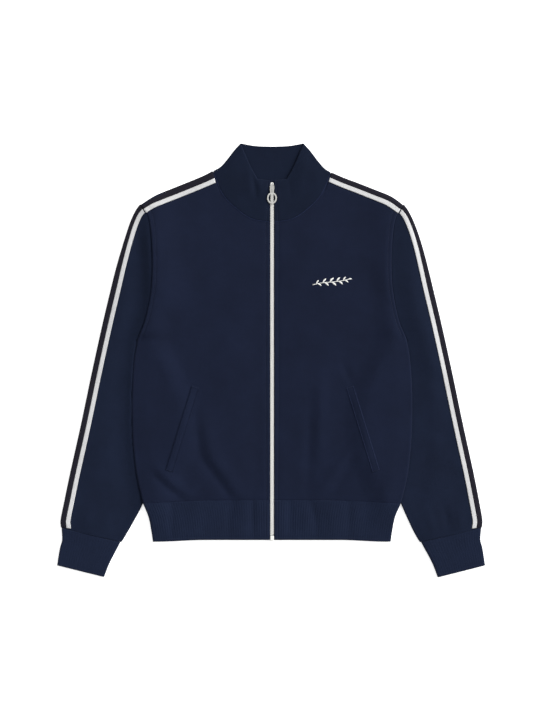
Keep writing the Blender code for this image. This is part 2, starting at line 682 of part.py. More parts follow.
def make_stripes(side_name, side, front, sleeve):
    front_height, sleeve_height = height_of(front), height_of(sleeve)
    shoulder, fold = Route(SHOULDER), Route(SLEEVE_OUTER)
    band = knit("charcoal_band", CHARCOAL)
    tape = finish("white_tape", WHITE, 0.75)
    for kind, stripe, material in (("band", SHOULDER_BAND, band), ("tape", SHOULDER_TAPE, tape)):
        edges = stripe_edges(shoulder, stripe, side, NECK_SLANT, POINT_SLANT, 7)
        strip(f"shoulder_{kind}_{side_name}", *edges, front_height, STRIPE_CLOTH, material)
    for kind, stripe, material in (("band", SLEEVE_BAND, band), ("tape", SLEEVE_TAPE, tape)):
        edges = stripe_edges(fold, stripe, side, SLEEVE_SLANT, CUFF_SLANT, 16)
        strip(f"sleeve_{kind}_{side_name}", *edges, sleeve_height, STRIPE_CLOTH, material)


def make_welt(side_name, side, front):
    """The stitched edge strip of a slanted pocket opening."""
    low, high = np.array(WELT_LOW), np.array(WELT_HIGH)
    along = (high - low) / np.linalg.norm(high - low)
    half = 0.5 * WELT_WIDTH * np.array([along[1], -along[0]])
    shares = np.linspace(0, 1, 13)
    lines = [[low + t * (high - low) + way * half for t in shares] for way in (-1, 1)]
    edges = [[p * (side, 1) for p in line] for line in lines]
    navy = knit("navy_double_knit", NAVY)
    strip(f"pocket_welt_{side_name}", *edges, height_of(front), WELT_CLOTH, navy, (0, 0.33, 0.67, 1))


# Zip

def block(bm, outs, ups, zs):
    """A box in a mesh, by its lowest and highest out, up and z."""
    low, high = world(outs[0], ups[0], zs[0]), world(outs[1], ups[1], zs[1])
    matrix = Matrix.Translation((low + high) / 2) @ Matrix.Diagonal((*(high - low), 1))
    bmesh.ops.create_cube(bm, size=1, matrix=matrix)


def bevelled_block(name, outs, ups, zs, radius, material):
    bm = bmesh.new()
    block(bm, outs, ups, zs)
    bmesh.ops.bevel(bm, geom=bm.edges[:], offset=radius * MM, segments=1, affect="EDGES")
    return add_object(name, bm, material)


def plate(name, outline, zs, material):
    """A flat plate with this outline of (out, up) places, between two heights."""
    bm = bmesh.new()
    low = [bm.verts.new(world(*p, zs[0])) for p in outline]
    high = [bm.verts.new(world(*p, zs[1])) for p in outline]
    bm.faces.new(low[::-1])
    bm.faces.new(high)
    for i in range(len(outline)):
        k = (i + 1) % len(outline)
        bm.faces.new((low[i], low[k], high[k], high[i]))
    return add_object(name, bm, material)


def combine(obj, helper, operation="UNION"):
    """Adds another closed shape to this one, or cuts it away, and drops it."""
    modifier = obj.modifiers.new(operation, "BOOLEAN")
    modifier.operation = operation
    modifier.object = helper
    graph = bpy.context.evaluated_depsgraph_get()
    mesh = bpy.data.meshes.new_from_object(obj.evaluated_get(graph))
    obj.modifiers.remove(modifier)
    obj.data = mesh
    mesh.set_sharp_from_angle(angle=math.radians(35))
    bpy.data.objects.remove(helper)


def make_zip():
    moulded = finish("white_moulded_zip", ZIP_WHITE, 0.4)
    chain_up = (BOX_LENGTH + SEAM, ZIP_TOP - SEAM)
    bevelled_block("zip_chain", (-ZIP_HALF, ZIP_HALF), chain_up, CHAIN_Z, 0.6, moulded)
    bevelled_block("zip_box", (-ZIP_HALF, ZIP_HALF), (0.4, BOX_LENGTH), BOX_Z, 0.8, moulded)
    for side_name, side in (("left", 1), ("right", -1)):
        outs = sorted((side * FRONT_EDGE, side * ZIP_TAPE_OUT))
        tape_z = (ZIP_TAPE_Z, ZIP_TAPE_Z + ZIP_TAPE)
        ups = (3, ZIP_TOP + 2)
        woven = knit("navy_woven_tape", INSIDE)
        bevelled_block(f"zip_tape_{side_name}", outs, ups, tape_z, 0.1, woven)
        outs = sorted((side * SEAM, side * ZIP_HALF))
        ups = (ZIP_TOP, ZIP_TOP + STOP_LENGTH)
        bevelled_block(f"zip_stop_{side_name}", outs, ups, STOP_Z, 0.4, moulded)


def make_slider():
    """The slider: a plate on the chain with a low bail, which the pull's bar passes through."""
    nickel = finish("nickel_plated_zinc", NICKEL, 0.25, 1.0)
    low, high = PLATE_UP
    half = [
        (PLATE_HALF - 1.3, low), (PLATE_HALF - 0.6, low + 3), (PLATE_HALF, high - 4),
        (PLATE_HALF - 0.8, high - 1), (PLATE_HALF - 2, high),
    ]
    slider = plate("zip_slider", half + [(-x, y) for x, y in half[::-1]], PLATE_Z, nickel)
    room = BAR_R + BAIL_ROOM
    foot_z, roof_z = PLATE_Z[1] - 0.5, PULL_AXIS_Z + room
    low_foot = (PULL_AXIS_UP - room - BAIL_THICK, PULL_AXIS_UP - room)
    high_foot = (PULL_AXIS_UP + room, PULL_AXIS_UP + room + BAIL_THICK)
    roof = (low_foot[0], high_foot[1])
    for ups, zs in (
        (low_foot, (foot_z, roof_z + 0.5)),
        (high_foot, (foot_z, roof_z + 0.5)),
        (roof, (roof_z, roof_z + BAIL_THICK)),
    ):
        bm = bmesh.new()
        block(bm, (-BAIL_HALF, BAIL_HALF), ups, zs)
        combine(slider, add_object("bail_piece", bm, nickel))


def oval(half_out, half_up, centre_up, turns):
    return [(half_out * math.cos(t), centre_up + half_up * math.sin(t)) for t in turns]


def make_pull():
    """A plain oval pull with a bar down its middle, hung in the slider's bail by its own cross bar.

    It is modelled with its hinge at the origin and pointing down, then tilted on to the zip and moved.
    """
    nickel = finish("nickel_plated_zinc", NICKEL, 0.25, 1.0)
    zs = (-PULL_THICK / 2, PULL_THICK / 2)
    half_up = (PULL_LENGTH - PULL_NECK) / 2
    centre = HINGE_UP - PULL_NECK - half_up
    turns = np.linspace(0, 2 * math.pi, 29)[:-1]
    pull = plate("zip_pull", oval(PULL_WIDTH / 2, half_up, centre, turns), zs, nickel)
    hole = (PULL_WIDTH / 2 - PULL_RIM, half_up - PULL_RIM)
    reach = math.pi / 2 - math.asin(PULL_BAR / 2 / hole[0])
    for way in (1, -1):
        outline = [(way * x, y) for x, y in oval(*hole, centre, np.linspace(-reach, reach, 11))]
        combine(pull, plate("hole", outline, (-PULL_THICK, PULL_THICK), nickel), "DIFFERENCE")
        bm = bmesh.new()
        outs = sorted((way * (BAIL_HALF + 0.5), way * PULL_NECK_HALF))
        block(bm, outs, (HINGE_UP - PULL_NECK - 1.4, HINGE_UP + BAR_R), zs)
        combine(pull, add_object("arm", bm, nickel))
    bm = bmesh.new()
    bmesh.ops.create_cone(
        bm, cap_ends=True, segments=12, radius1=BAR_R * MM, radius2=BAR_R * MM,
        depth=2 * (PULL_NECK_HALF - 0.4) * MM, matrix=Matrix.Rotation(math.pi / 2, 4, "Y"),
    )
    combine(pull, add_object("bar", bm, nickel))
    pull.data.transform(Matrix.Rotation(math.radians(PULL_TILT_DEG), 4, "X"))
    pull.location = world(0, PULL_AXIS_UP, PULL_AXIS_Z)


def main():
    for obj in list(bpy.data.objects):
        bpy.data.objects.remove(obj)
    make_back()
    make_waistband()
    make_collar()
    for side_name, side in (("left", 1), ("right", -1)):
        front = make_front(f"front_{side_name}", side)
        sleeve = make_sleeve(f"sleeve_{side_name}", side)
        make_cuff(f"cuff_{side_name}", side)
        make_stripes(side_name, side, front, sleeve)
        make_welt(side_name, side, front)
    make_zip()
    make_slider()
    make_pull()


main()
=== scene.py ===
# %% [markdown]
# A knitted cardigan with a full-length zip, laid flat and seen from straight above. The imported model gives
# its solids; this script dresses them. Each panel becomes a thin shell with finer folds, real ribs, sewing
# and a knitted finish, in the same place as the solid that it stands for.

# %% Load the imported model
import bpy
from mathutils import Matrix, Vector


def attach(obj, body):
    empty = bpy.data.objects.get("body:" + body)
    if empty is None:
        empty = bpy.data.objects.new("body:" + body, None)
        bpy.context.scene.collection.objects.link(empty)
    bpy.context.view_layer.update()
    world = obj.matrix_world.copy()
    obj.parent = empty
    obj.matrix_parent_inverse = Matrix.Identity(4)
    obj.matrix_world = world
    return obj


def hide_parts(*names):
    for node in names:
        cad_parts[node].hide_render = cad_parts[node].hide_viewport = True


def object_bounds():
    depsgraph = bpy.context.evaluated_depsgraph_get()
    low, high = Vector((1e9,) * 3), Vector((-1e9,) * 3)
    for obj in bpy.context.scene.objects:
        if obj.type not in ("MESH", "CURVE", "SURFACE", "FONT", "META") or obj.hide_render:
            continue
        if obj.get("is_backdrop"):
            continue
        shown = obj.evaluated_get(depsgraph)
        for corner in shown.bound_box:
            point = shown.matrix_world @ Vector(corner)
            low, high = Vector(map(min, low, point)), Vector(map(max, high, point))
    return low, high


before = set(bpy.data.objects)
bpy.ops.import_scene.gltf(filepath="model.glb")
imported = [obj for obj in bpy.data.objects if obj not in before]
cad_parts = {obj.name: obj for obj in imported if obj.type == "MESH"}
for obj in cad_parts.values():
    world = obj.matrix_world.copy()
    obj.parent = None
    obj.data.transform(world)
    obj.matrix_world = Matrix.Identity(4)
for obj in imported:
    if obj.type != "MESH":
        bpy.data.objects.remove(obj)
cad_box = [list(corner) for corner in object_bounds()]
print("solids:", len(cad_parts), "box:", [round(side, 4) for side in cad_box[1]])

# %% [markdown]
# Blender works in metres. A garment is easier to think of in millimetres, so a place on it is (out, up):
# millimetres from the zip's centre line, and above the hem. Each is turned to metres only when a mesh is
# made.

# %% Units
import math
from collections import namedtuple

import bmesh
import bpy
import numpy as np
from mathutils import Vector, noise
from mathutils.bvhtree import BVHTree

MM = 0.001
HEM_Y = -324.25  # the hem's place in Y
SIDES = (("left", 1), ("right", -1))  # the wearer's left is on the side of +X
Spot = namedtuple("Spot", "out up")
print("the hem lies at Y", HEM_Y, "mm")

# %% [markdown]
# A garment's outline is a few smooth curves. Each is drawn through a handful of places, and read by the
# share of its length, so that two pieces which are sewn together can share an edge. A panel between four
# such edges is a Coons patch: every point is a blend of the four edges.

# %% Curves and patches
def smooth(t):
    t = np.clip(t, 0.0, 1.0)
    return t * t * (3.0 - 2.0 * t)


def fine(spots, steps=8):
    """A smooth curve through the spots, as points close together."""
    p = np.array(spots, float)
    p = np.vstack([2 * p[0] - p[1], p, 2 * p[-1] - p[-2]])
    t = np.linspace(0, 1, steps, endpoint=False)[:, None]
    found = []
    for a, b, c, d in zip(p, p[1:], p[2:], p[3:]):
        square, cube = 2 * a - 5 * b + 4 * c - d, 3 * b - a - 3 * c + d
        found.append(b + 0.5 * ((c - a) * t + square * t**2 + cube * t**3))
    return np.vstack(found + [p[-2:-1]])


class Route:
    """A line made of smooth stretches, read by the share of its length."""

    def __init__(self, *stretches):
        self.points = np.vstack([fine(spots) for spots in stretches])
        steps = np.linalg.norm(np.diff(self.points, axis=0), axis=1)
        self.far = np.concatenate([[0], np.cumsum(steps)])
        self.length = self.far[-1]

    def __call__(self, share):
        far = np.clip(share, 0, 1) * self.length
        return np.stack([np.interp(far, self.far, self.points[:, i]) for i in (0, 1)], -1)

    def inset(self, far, distance):
        """The place at this length, moved in from the line, which runs with the cloth on its right."""
        on_line = min(max(far, 0.0), self.length)
        a, b = self((on_line - 1) / self.length), self((on_line + 1) / self.length)
        along = (b - a) / np.linalg.norm(b - a)
        across = np.array([along[1], -along[0]])
        return self(on_line / self.length) + (far - on_line) * along + distance * across


def patch(bottom, right, top, left, us, vs):
    """Places between four edges, as rows up from the bottom."""
    u, v = np.asarray(us)[None, :, None], np.asarray(vs)[:, None, None]
    p = (1 - v) * bottom(us)[None] + v * top(us)[None]
    p = p + (1 - u) * left(vs)[:, None] + u * right(vs)[:, None]
    p = p - (1 - u) * (1 - v) * bottom(0) - u * (1 - v) * bottom(1)
    return p - (1 - u) * v * top(0) - u * v * top(1)


print("a slanted test line, 30 across and 40 up:", Route([Spot(0, 0), Spot(30, 40)]).length, "mm")

# %% [markdown]
# These are the garment's own sizes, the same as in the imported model: the thickness of each cloth, the
# heights at which the layers lie, and the places that its seams and edges run through.

# %% Cloth and layers, in millimetres
CLOTH = 2.0  # fine double knit
RIB_CLOTH = 2.4  # the folded cloth of the collar, waistband and cuffs
SEAM = 0.3
LAY = 0.6  # room between the two layers of a sleeve
FRONT_LOFT = 1.5  # the front's rise over the back, which the zip's tapes lie in
FRONT_PUFF = 1.2
SLEEVE_PUFF = 1.4
BODY_LIFT = 2 * CLOTH + LAY + SEAM  # the body's rise over a sleeve that lies under it
ARMHOLE_STEP = 1.2
SLEEVE_TOP = 2 * CLOTH + LAY
print("a sleeve lies", SLEEVE_TOP, "mm high, and the body rises", BODY_LIFT, "mm over it")

# %% Seams and edges, as places (out, up)
ZIP_HALF = 3.3
FRONT_EDGE = ZIP_HALF + SEAM
ZIP_TAPE_Z = RIB_CLOTH + SEAM
ZIP_TAPE = 0.8
ZIP_TOP = 641.0
WAISTBAND = 74.0
BACK_NECK = 633.6
FRONT_NECK = 574.0
BODY_HALF = 235.0
SIDE_SEAM = [
    Spot(232, 68), Spot(244, 122), Spot(250.7, 188), Spot(251.8, 264), Spot(248.2, 325), Spot(242.3, 361),
]
ARMHOLE = [
    Spot(242.3, 361), Spot(227, 400), Spot(216.2, 458), Spot(214.8, 520), Spot(220.7, 577), Spot(234.9, 604),
]
SHOULDER = [Spot(105.7, 664), Spot(139.7, 649.8), Spot(175.5, 635.4), Spot(209.7, 621), Spot(234.9, 604)]
NECKLINE = [
    Spot(FRONT_EDGE, FRONT_NECK), Spot(36, 579.6), Spot(63.5, 597.6), Spot(89, 624.6), Spot(105.7, 664),
]
BACK_NECKLINE = [Spot(0, BACK_NECK), Spot(40, 635.6), Spot(78, 645), Spot(105.7, 664)]
COLLAR_SIDE = [
    Spot(105.7, 664), Spot(93.6, 671.8), Spot(80.4, 687.2), Spot(68.8, 702.4), Spot(56.6, 716),
]
COLLAR_ZIP_TOP = 649.0
COLLAR_BACK_TOP = 710.2
COLLAR_FLAT_TOP = [Spot(FRONT_EDGE, COLLAR_ZIP_TOP), Spot(26.1, 651.6)]
COLLAR_V = [Spot(26.1, 651.6), Spot(37.8, 672.5), Spot(46.8, 692.6), Spot(56.6, 716)]
COLLAR_BACK_EDGE = [Spot(0, COLLAR_BACK_TOP), Spot(30, 711.4), Spot(56.6, 716)]
SLEEVE_OUTER = [
    Spot(236.2, 605.4), Spot(245.7, 592.2), Spot(255.6, 570.6), Spot(267.3, 534.6), Spot(279.9, 491.4),
    Spot(290.7, 448.2), Spot(306, 383.4), Spot(324.9, 297), Spot(342.9, 210.6), Spot(361.8, 124.2),
    Spot(373, 67), Spot(378, 37.8), Spot(377, 24.3),
]
SLEEVE_UNDER = [
    Spot(242.6, 361), Spot(222, 318), Spot(196, 262), Spot(187, 212), Spot(196, 150), Spot(232, 68),
    Spot(247.5, 37.8), Spot(268.2, 1.8), Spot(272.5, -1.8),
]
SLEEVE_ACROSS_ARMPIT = 242.0
CUFF_OUTER = [Spot(376.6, 23.9), Spot(375.3, 1.8), Spot(378.9, -12.6), Spot(383.8, -43.7)]
CUFF_INNER = [Spot(272.8, -2.1), Spot(278, -12.6), Spot(292.5, -41.4), Spot(301.5, -64.8)]
WAISTBAND_SIDE = [Spot(214.5, 0), Spot(217.5, 20), Spot(222.2, 44), Spot(232, 68)]

TOP_EDGE = Route(NECKLINE, SHOULDER)
SIDE_EDGE = Route(SIDE_SEAM, ARMHOLE)
NECK_SHARE = Route(NECKLINE).length / TOP_EDGE.length
ARMPIT_SHARE = Route(SIDE_SEAM).length / SIDE_EDGE.length
print("side of a front, hem to shoulder point:", round(SIDE_EDGE.length), "mm")

# %% [markdown]
# The layers of a garment that is laid out rest on each other. The back lies on the table, and rises over
# the sleeves where they go under it. The fronts lie on the back. So each height is a rule, not a list.

# %% Heights of the layers
def under_fold(up):
    """How far out the hidden part of a sleeve starts, under the body."""
    spots = SLEEVE_UNDER[5::-1]
    return np.interp(up, [s.up for s in spots], [s.out for s in spots])


def body_edge(up):
    spots = SIDE_SEAM + ARMHOLE[1:]
    return np.interp(up, [s.up for s in spots], [s.out for s in spots])


def lift(out, up):
    """How high the body's back lies: over the sleeves at its sides, and on the table elsewhere."""
    out = np.abs(out)
    over_sleeve = smooth((out - under_fold(up) + 63) / 45) * smooth(up / 62)
    over_sleeve *= 1 - smooth((up - 376) / 70)
    armhole = np.interp(up, [s.up for s in ARMHOLE], [s.out for s in ARMHOLE])
    by_seam = smooth((out - armhole + 25) / 20) * smooth((up - 300) / 60)
    by_seam *= 1 - smooth((up - 560) / 36)
    return np.maximum(BODY_LIFT * over_sleeve, ARMHOLE_STEP * by_seam)


print("the back's height over a sleeve:", round(float(lift(240, 200)), 2), "mm")

# %% [markdown]
# A crease in soft knit is a trough with a swell beside it, and no two are alike. Each row of a table below
# is one of them: the places that it runs through, how wide it is, and how high or deep. The worn cloth
# also has slow, uneven swells, which a little noise gives.

# %% Creases and swells
Fold = namedtuple("Fold", "spots width rise")
FRONT_FOLDS = [
    Fold([
        Spot(-136, 222), Spot(-132, 188), Spot(-124, 148), Spot(-104, 120), Spot(-82, 90), Spot(-68, 68),
        Spot(-58, 48),
    ], 8, -1.8),
    Fold([
        Spot(-119, 232), Spot(-117, 192), Spot(-110, 157), Spot(-92, 131), Spot(-69, 101), Spot(-56, 80),
        Spot(-46, 60),
    ], 15, 2.4),
    Fold([Spot(-158, 200), Spot(-147, 148), Spot(-127, 110), Spot(-98, 78)], 15, 0.72),
    Fold([Spot(-216, 126), Spot(-208, 115), Spot(-189, 97), Spot(-164, 76), Spot(-151, 60)], 7, -1.8),
    Fold([Spot(-212, 140), Spot(-201, 127), Spot(-181, 108), Spot(-156, 86), Spot(-140, 66)], 11, 1.8),
    Fold([Spot(-26, 240), Spot(-30, 160), Spot(-27, 92)], 13, -0.84),
    Fold([Spot(70, 262), Spot(67, 165), Spot(63, 84)], 10, -1.92),
    Fold([Spot(88, 300), Spot(87, 232), Spot(86, 150)], 12, 1.56),
    Fold([Spot(142, 168), Spot(104, 112), Spot(82, 88)], 9, 1.8),
    Fold([Spot(150, 150), Spot(122, 108), Spot(104, 82)], 9, -1.56),
    Fold([Spot(126, 322), Spot(138, 296), Spot(143, 280)], 6, -1.2),
    Fold([Spot(207, 600), Spot(203, 520), Spot(205, 460), Spot(216, 385)], 26, 2.64),
    Fold([Spot(-200, 600), Spot(-188, 530), Spot(-186, 460), Spot(-200, 385)], 28, 4.4),
    Fold([Spot(-188, 566), Spot(-176, 520), Spot(-170, 470)], 22, -0.84),
    Fold([Spot(205, 330), Spot(176, 300), Spot(150, 292)], 14, 0.96),
    Fold([Spot(-208, 336), Spot(-180, 306), Spot(-158, 300)], 15, 0.96),
    Fold([Spot(200, 110), Spot(190, 92), Spot(176, 78)], 8, -1.08),
]
ARMHOLE_FOLDS = [
    Fold([
        Spot(-221, 612), Spot(-220, 580), Spot(-220, 547), Spot(-218, 513), Spot(-216, 463), Spot(-219, 423),
        Spot(-227, 392), Spot(-241, 356),
    ], 13, 7.0),
    Fold([
        Spot(224, 606), Spot(212, 574), Spot(206.5, 520), Spot(208, 458), Spot(219, 402), Spot(238, 356),
    ], 8, 1.25),
]
WAIST_FOLDS = [
    Fold([Spot(-180, 84), Spot(-182, 40), Spot(-180, 8)], 7, -1.4),
    Fold([Spot(-66, 84), Spot(-76, 44), Spot(-79, 6)], 8, -1.21),
    Fold([Spot(-34, 84), Spot(-35, 40), Spot(-33, 6)], 6, -1.2),
    Fold([Spot(31, 84), Spot(33, 40), Spot(32, 6)], 7, -1.2),
    Fold([Spot(66, 84), Spot(77, 44), Spot(80, 6)], 7, -1.1),
    Fold([Spot(139, 84), Spot(138, 40), Spot(137, 6)], 8, -1.3),
    Fold([Spot(-122, 80), Spot(-138, 44), Spot(-142, 6)], 16, 1.1),
    Fold([Spot(-50, 80), Spot(-52, 40), Spot(-52, 6)], 9, 0.66),
    Fold([Spot(96, 84), Spot(108, 44), Spot(114, 6)], 15, 1.1),
    Fold([Spot(56, 60), Spot(59, 36), Spot(59, 6)], 8, 0.55),
]
BACK_FOLDS = [
    Fold([Spot(-172, 230), Spot(-156, 170), Spot(-138, 100)], 14, 1.2),
    Fold([Spot(30, 330), Spot(38, 220), Spot(34, 110)], 12, 0.9),
    Fold([Spot(118, 240), Spot(100, 170), Spot(104, 96)], 12, 1.1),
    Fold([Spot(-40, 560), Spot(-70, 470), Spot(-60, 400)], 20, 0.9),
    Fold([Spot(90, 560), Spot(104, 500), Spot(96, 430)], 18, 0.8),
]
SLEEVE_FOLDS = [
    Fold([
        Spot(-232, 392), Spot(-242, 356), Spot(-245, 310), Spot(-246, 264), Spot(-245, 190), Spot(-240, 130),
        Spot(-232, 70),
    ], 13, 4.5),
    Fold([
        Spot(249, 590), Spot(245, 520), Spot(249, 458), Spot(260, 400), Spot(274, 361), Spot(284, 300),
        Spot(290, 230),
    ], 20, 3.8),
    Fold([Spot(-262, 470), Spot(-268, 420), Spot(-284, 360)], 14, 0.96),
    Fold([Spot(268, 340), Spot(292, 318), Spot(318, 300)], 15, 0.84),
    Fold([Spot(-276, 330), Spot(-300, 300), Spot(-324, 286)], 16, 0.96),
    Fold([Spot(284, 300), Spot(304, 276), Spot(332, 262)], 11, -0.72),
    Fold([Spot(-282, 210), Spot(-300, 170), Spot(-316, 120)], 18, 0.96),
    Fold([Spot(276, 196), Spot(296, 164), Spot(304, 120)], 18, 0.84),
    Fold([Spot(318, 22), Spot(316, 42), Spot(311, 62)], 6, -1.32),
    Fold([Spot(338, 20), Spot(338, 40), Spot(334, 58)], 8, 0.96),
    Fold([Spot(-330, 20), Spot(-330, 42), Spot(-326, 60)], 9, 0.84),
    Fold([Spot(294, 14), Spot(290, 34), Spot(284, 50)], 7, 0.96),
    Fold([Spot(-300, 16), Spot(-296, 36), Spot(-288, 56)], 8, 0.72),
]


def fold_height(place, folds):
    """What the folds add to the height at each place. A fold fades towards both its ends."""
    total = np.zeros(place.shape[:-1])
    for fold in folds:
        line = fine(fold.spots, 30)
        away = np.linalg.norm(place[..., None, :] - line, axis=-1)
        along = away.argmin(-1) / (len(line) - 1)
        ends = np.sin(math.pi * (0.1 + 0.8 * along))
        total += fold.rise * ends * np.exp(-((away.min(-1) / fold.width) ** 2))
    return total


def armhole_ridge(place, wider=1.0):
    """The seam under the armhole's edge lifts both the front and the sleeve that meet there."""
    folds = [fold._replace(width=fold.width * wider) for fold in ARMHOLE_FOLDS]
    return fold_height(place, folds) * smooth((place[..., 1] - 361) / 16)


def swell(place, height, across, layer):
    """Slow uneven swells of this height, about this many millimetres across."""
    spots = place.reshape(-1, 2) / across
    rises = [noise.noise((x, y, layer)) for x, y in spots]
    return height * np.array(rises).reshape(place.shape[:-1])


def rounded(distance, reach, drop):
    """How far a surface falls towards an edge, as a quarter of an oval of this reach."""
    near = np.clip(1 - distance / reach, 0, 1)
    return drop * (1 - np.sqrt(1 - near**2))


print("creases on the two fronts:", len(FRONT_FOLDS), "and on the sleeves:", len(SLEEVE_FOLDS))

# %% [markdown]
# A garment that is laid out by hand isn't quite even on its two sides. Its solids are, so the unevenness is
# kept apart from the pattern: each nudge shifts what lies round one spot by a few millimetres, and fades out
# with distance. Every mesh passes through it, and so does every place at which a height is read.

# %% How it lies on the table
Nudge = namedtuple("Nudge", "spot reach step")
NUDGES = [
    Nudge(Spot(-402, -30), 85, (-3.3, 0.0)),
    Nudge(Spot(-374, 96), 80, (-0.4, 0.0)),
    Nudge(Spot(275, 14), 45, (-4.9, 0.0)),
    Nudge(Spot(301, -62), 45, (-3.0, -0.6)),
    Nudge(Spot(-238, 602), 26, (0.1, 1.4)),
    Nudge(Spot(-103, 667), 15, (0.0, 2.0)),
    Nudge(Spot(126, 657), 24, (0.0, -1.1)),
    Nudge(Spot(224, 616), 20, (0.0, 1.4)),
    Nudge(Spot(272, 538), 40, (1.3, 0.0)),
]


def as_laid(places):
    """The places moved to where they lie on the table."""
    moved = np.array(places, float)
    for nudge in NUDGES:
        away = np.linalg.norm(np.asarray(places)[..., :2] - nudge.spot, axis=-1)
        moved[..., :2] += np.exp(-((away / nudge.reach) ** 2))[..., None] * nudge.step
    return moved


def metres(points):
    """Points in metres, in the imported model's frame."""
    return (as_laid(points) + (0, HEM_Y, 0)) * MM


print("the right cuff's corner is laid at", np.round(as_laid([[-383.8, -43.7]])[0], 1), "mm")

# %% [markdown]
# Cloth has two faces and an edge. A thin shell is made from two grids of points, one for each face, with
# the rims closed between them. Numpy builds all the faces of a grid in one go, which is far quicker than
# one at a time. Every face also gets a place in a UV map called Grain, which holds millimetres along and
# across the knitting, so that a stitch can be drawn at its real size on any piece.

# %% From two grids of points to a shell
EDGE_STEPS = np.array([0, 0.2, 0.6, 1.2, 2.0, 3.0])


def shares(length, spacing, extra=()):
    """Shares of a length: closer together at both ends, and at the extra distances from the start."""
    inner = np.arange(3.0 + spacing, length - 3.0 - spacing / 2, spacing)
    places = np.concatenate([EDGE_STEPS, inner, length - EDGE_STEPS, extra])
    return np.unique(np.round(places, 3)) / length


def mesh_piece(name, points, faces, material, grain_turn=0.0):
    """A smooth object from points in millimetres, with its knitting turned by this angle."""
    mesh = bpy.data.meshes.new(name)
    mesh.from_pydata(metres(points).tolist(), [], np.asarray(faces).tolist())
    bm = bmesh.new()
    bm.from_mesh(mesh)
    bmesh.ops.recalc_face_normals(bm, faces=bm.faces)
    bm.to_mesh(mesh)
    bm.free()
    corners = np.zeros(len(mesh.loops), int)
    mesh.loops.foreach_get("vertex_index", corners)
    x, y, z = np.asarray(points, float)[corners].T
    turn = math.radians(grain_turn)
    grain = np.stack([x * math.cos(turn) + y * math.sin(turn) + z, y * math.cos(turn) - x * math.sin(turn)])
    layer = mesh.uv_layers.new(name="Grain")
    layer.data.foreach_set("uv", grain.T.ravel())
    mesh.materials.append(material)
    mesh.shade_smooth()
    obj = bpy.data.objects.new(name, mesh)
    bpy.context.scene.collection.objects.link(obj)
    return obj


def wall(name, outer, inner, material, grain_turn=0.0, ring_from=None):
    """One closed wall of cloth between two grids. From the row ring_from on, it closes to a ring."""
    outer, inner = np.asarray(outer, float), np.asarray(inner, float)
    rows, many = outer.shape[:2]
    over = np.arange(rows * many).reshape(rows, many)
    below = over + rows * many
    ring = rows if ring_from is None else ring_from
    slit = min(ring, rows - 1)  # up to this row the two side edges are open, and get a rim each
    faces = []

    def join(a, b, c, d):
        faces.append(np.stack([np.ravel(s) for s in (a, b, c, d)], -1))

    for sheet in (over, below):
        join(sheet[:-1, :-1], sheet[:-1, 1:], sheet[1:, 1:], sheet[1:, :-1])
        join(sheet[ring:-1, -1], sheet[ring:-1, 0], sheet[ring + 1:, 0], sheet[ring + 1:, -1])
    for end in (0, rows - 1):
        join(over[end, :-1], over[end, 1:], below[end, 1:], below[end, :-1])
    for side in (0, many - 1):
        join(over[:slit, side], over[1:slit + 1, side], below[1:slit + 1, side], below[:slit, side])
    if ring < rows:
        for j in sorted({ring, rows - 1}):
            join(over[j, 0], over[j, -1], below[j, -1], below[j, 0])
    points = np.vstack([outer.reshape(-1, 3), inner.reshape(-1, 3)])
    return mesh_piece(name, points, np.vstack(faces), material, grain_turn)


def flipped(grid, side):
    """The same grid for the other side of the body."""
    return np.asarray(grid, float) * (side, 1, 1)


def with_height(plan, z):
    """Places given a height each, or the same one for all."""
    return np.concatenate([plan, np.broadcast_to(z, plan.shape[:-1])[..., None]], -1)


def plan_area(plan):
    """The area of a grid of places, in square metres."""
    a, b = plan[1:, 1:] - plan[:-1, :-1], plan[1:, :-1] - plan[:-1, 1:]
    return float(np.abs(a[..., 0] * b[..., 1] - a[..., 1] * b[..., 0]).sum()) / 2 * MM * MM


print("rows of points over 60 mm of cloth:", len(shares(60, 3.5)))

# %% [markdown]
# Materials come next, because each piece takes one as it is made. They are node graphs of the real thing.
# Colours are given as sRGB hex, as a picture editor shows them, and one function turns them to the linear
# values that Blender's shaders take. A second small function adds a node with its settings and links, and a
# third one ends each material: its colour drifts with a tone, which on knitting and ridged cloth is partly
# painted shade in the hollows, and its relief is a bump.

# %% Colours and nodes
def linear(hex_colour):
    """An sRGB hex colour as linear red, green, blue and alpha."""
    parts = [int(hex_colour[i:i + 2], 16) / 255 for i in (1, 3, 5)]
    return [c / 12.92 if c <= 0.04045 else ((c + 0.055) / 1.055) ** 2.4 for c in parts] + [1.0]


def node(tree, kind, inputs=None, **settings):
    """Adds a node with these settings, and fills its inputs with values or with other nodes' outputs."""
    made = tree.nodes.new(kind)
    for name, value in settings.items():
        setattr(made, name, value)
    for socket, value in (inputs or {}).items():
        if isinstance(value, bpy.types.NodeSocket):
            tree.links.new(value, made.inputs[socket])
        else:
            made.inputs[socket].default_value = value
    return made


def surface(name, **values):
    """A new material, its node tree and its Principled shader, with these values on the shader's sockets."""
    material = bpy.data.materials.new(name)
    material.use_nodes = True
    shader = material.node_tree.nodes["Principled BSDF"]
    for socket, value in values.items():
        shader.inputs[socket.replace("_", " ")].default_value = value
    return material, material.node_tree, shader


def finish(tree, shader, hex_colour, tone, height, strength, relief):
    """Gives a shader this colour times the tone, and bumps that rise with the height, up to relief mm."""
    coloured = node(
        tree, "ShaderNodeVectorMath", {0: linear(hex_colour)[:3], "Scale": tone}, operation="SCALE",
    ).outputs["Vector"]
    tree.links.new(coloured, shader.inputs["Base Color"])
    bump = node(tree, "ShaderNodeBump", {"Height": height, "Strength": strength, "Distance": relief * MM})
    tree.links.new(bump.outputs["Normal"], shader.inputs["Normal"])


print("navy in linear values:", [round(part, 4) for part in linear("#141b2f")[:3]])
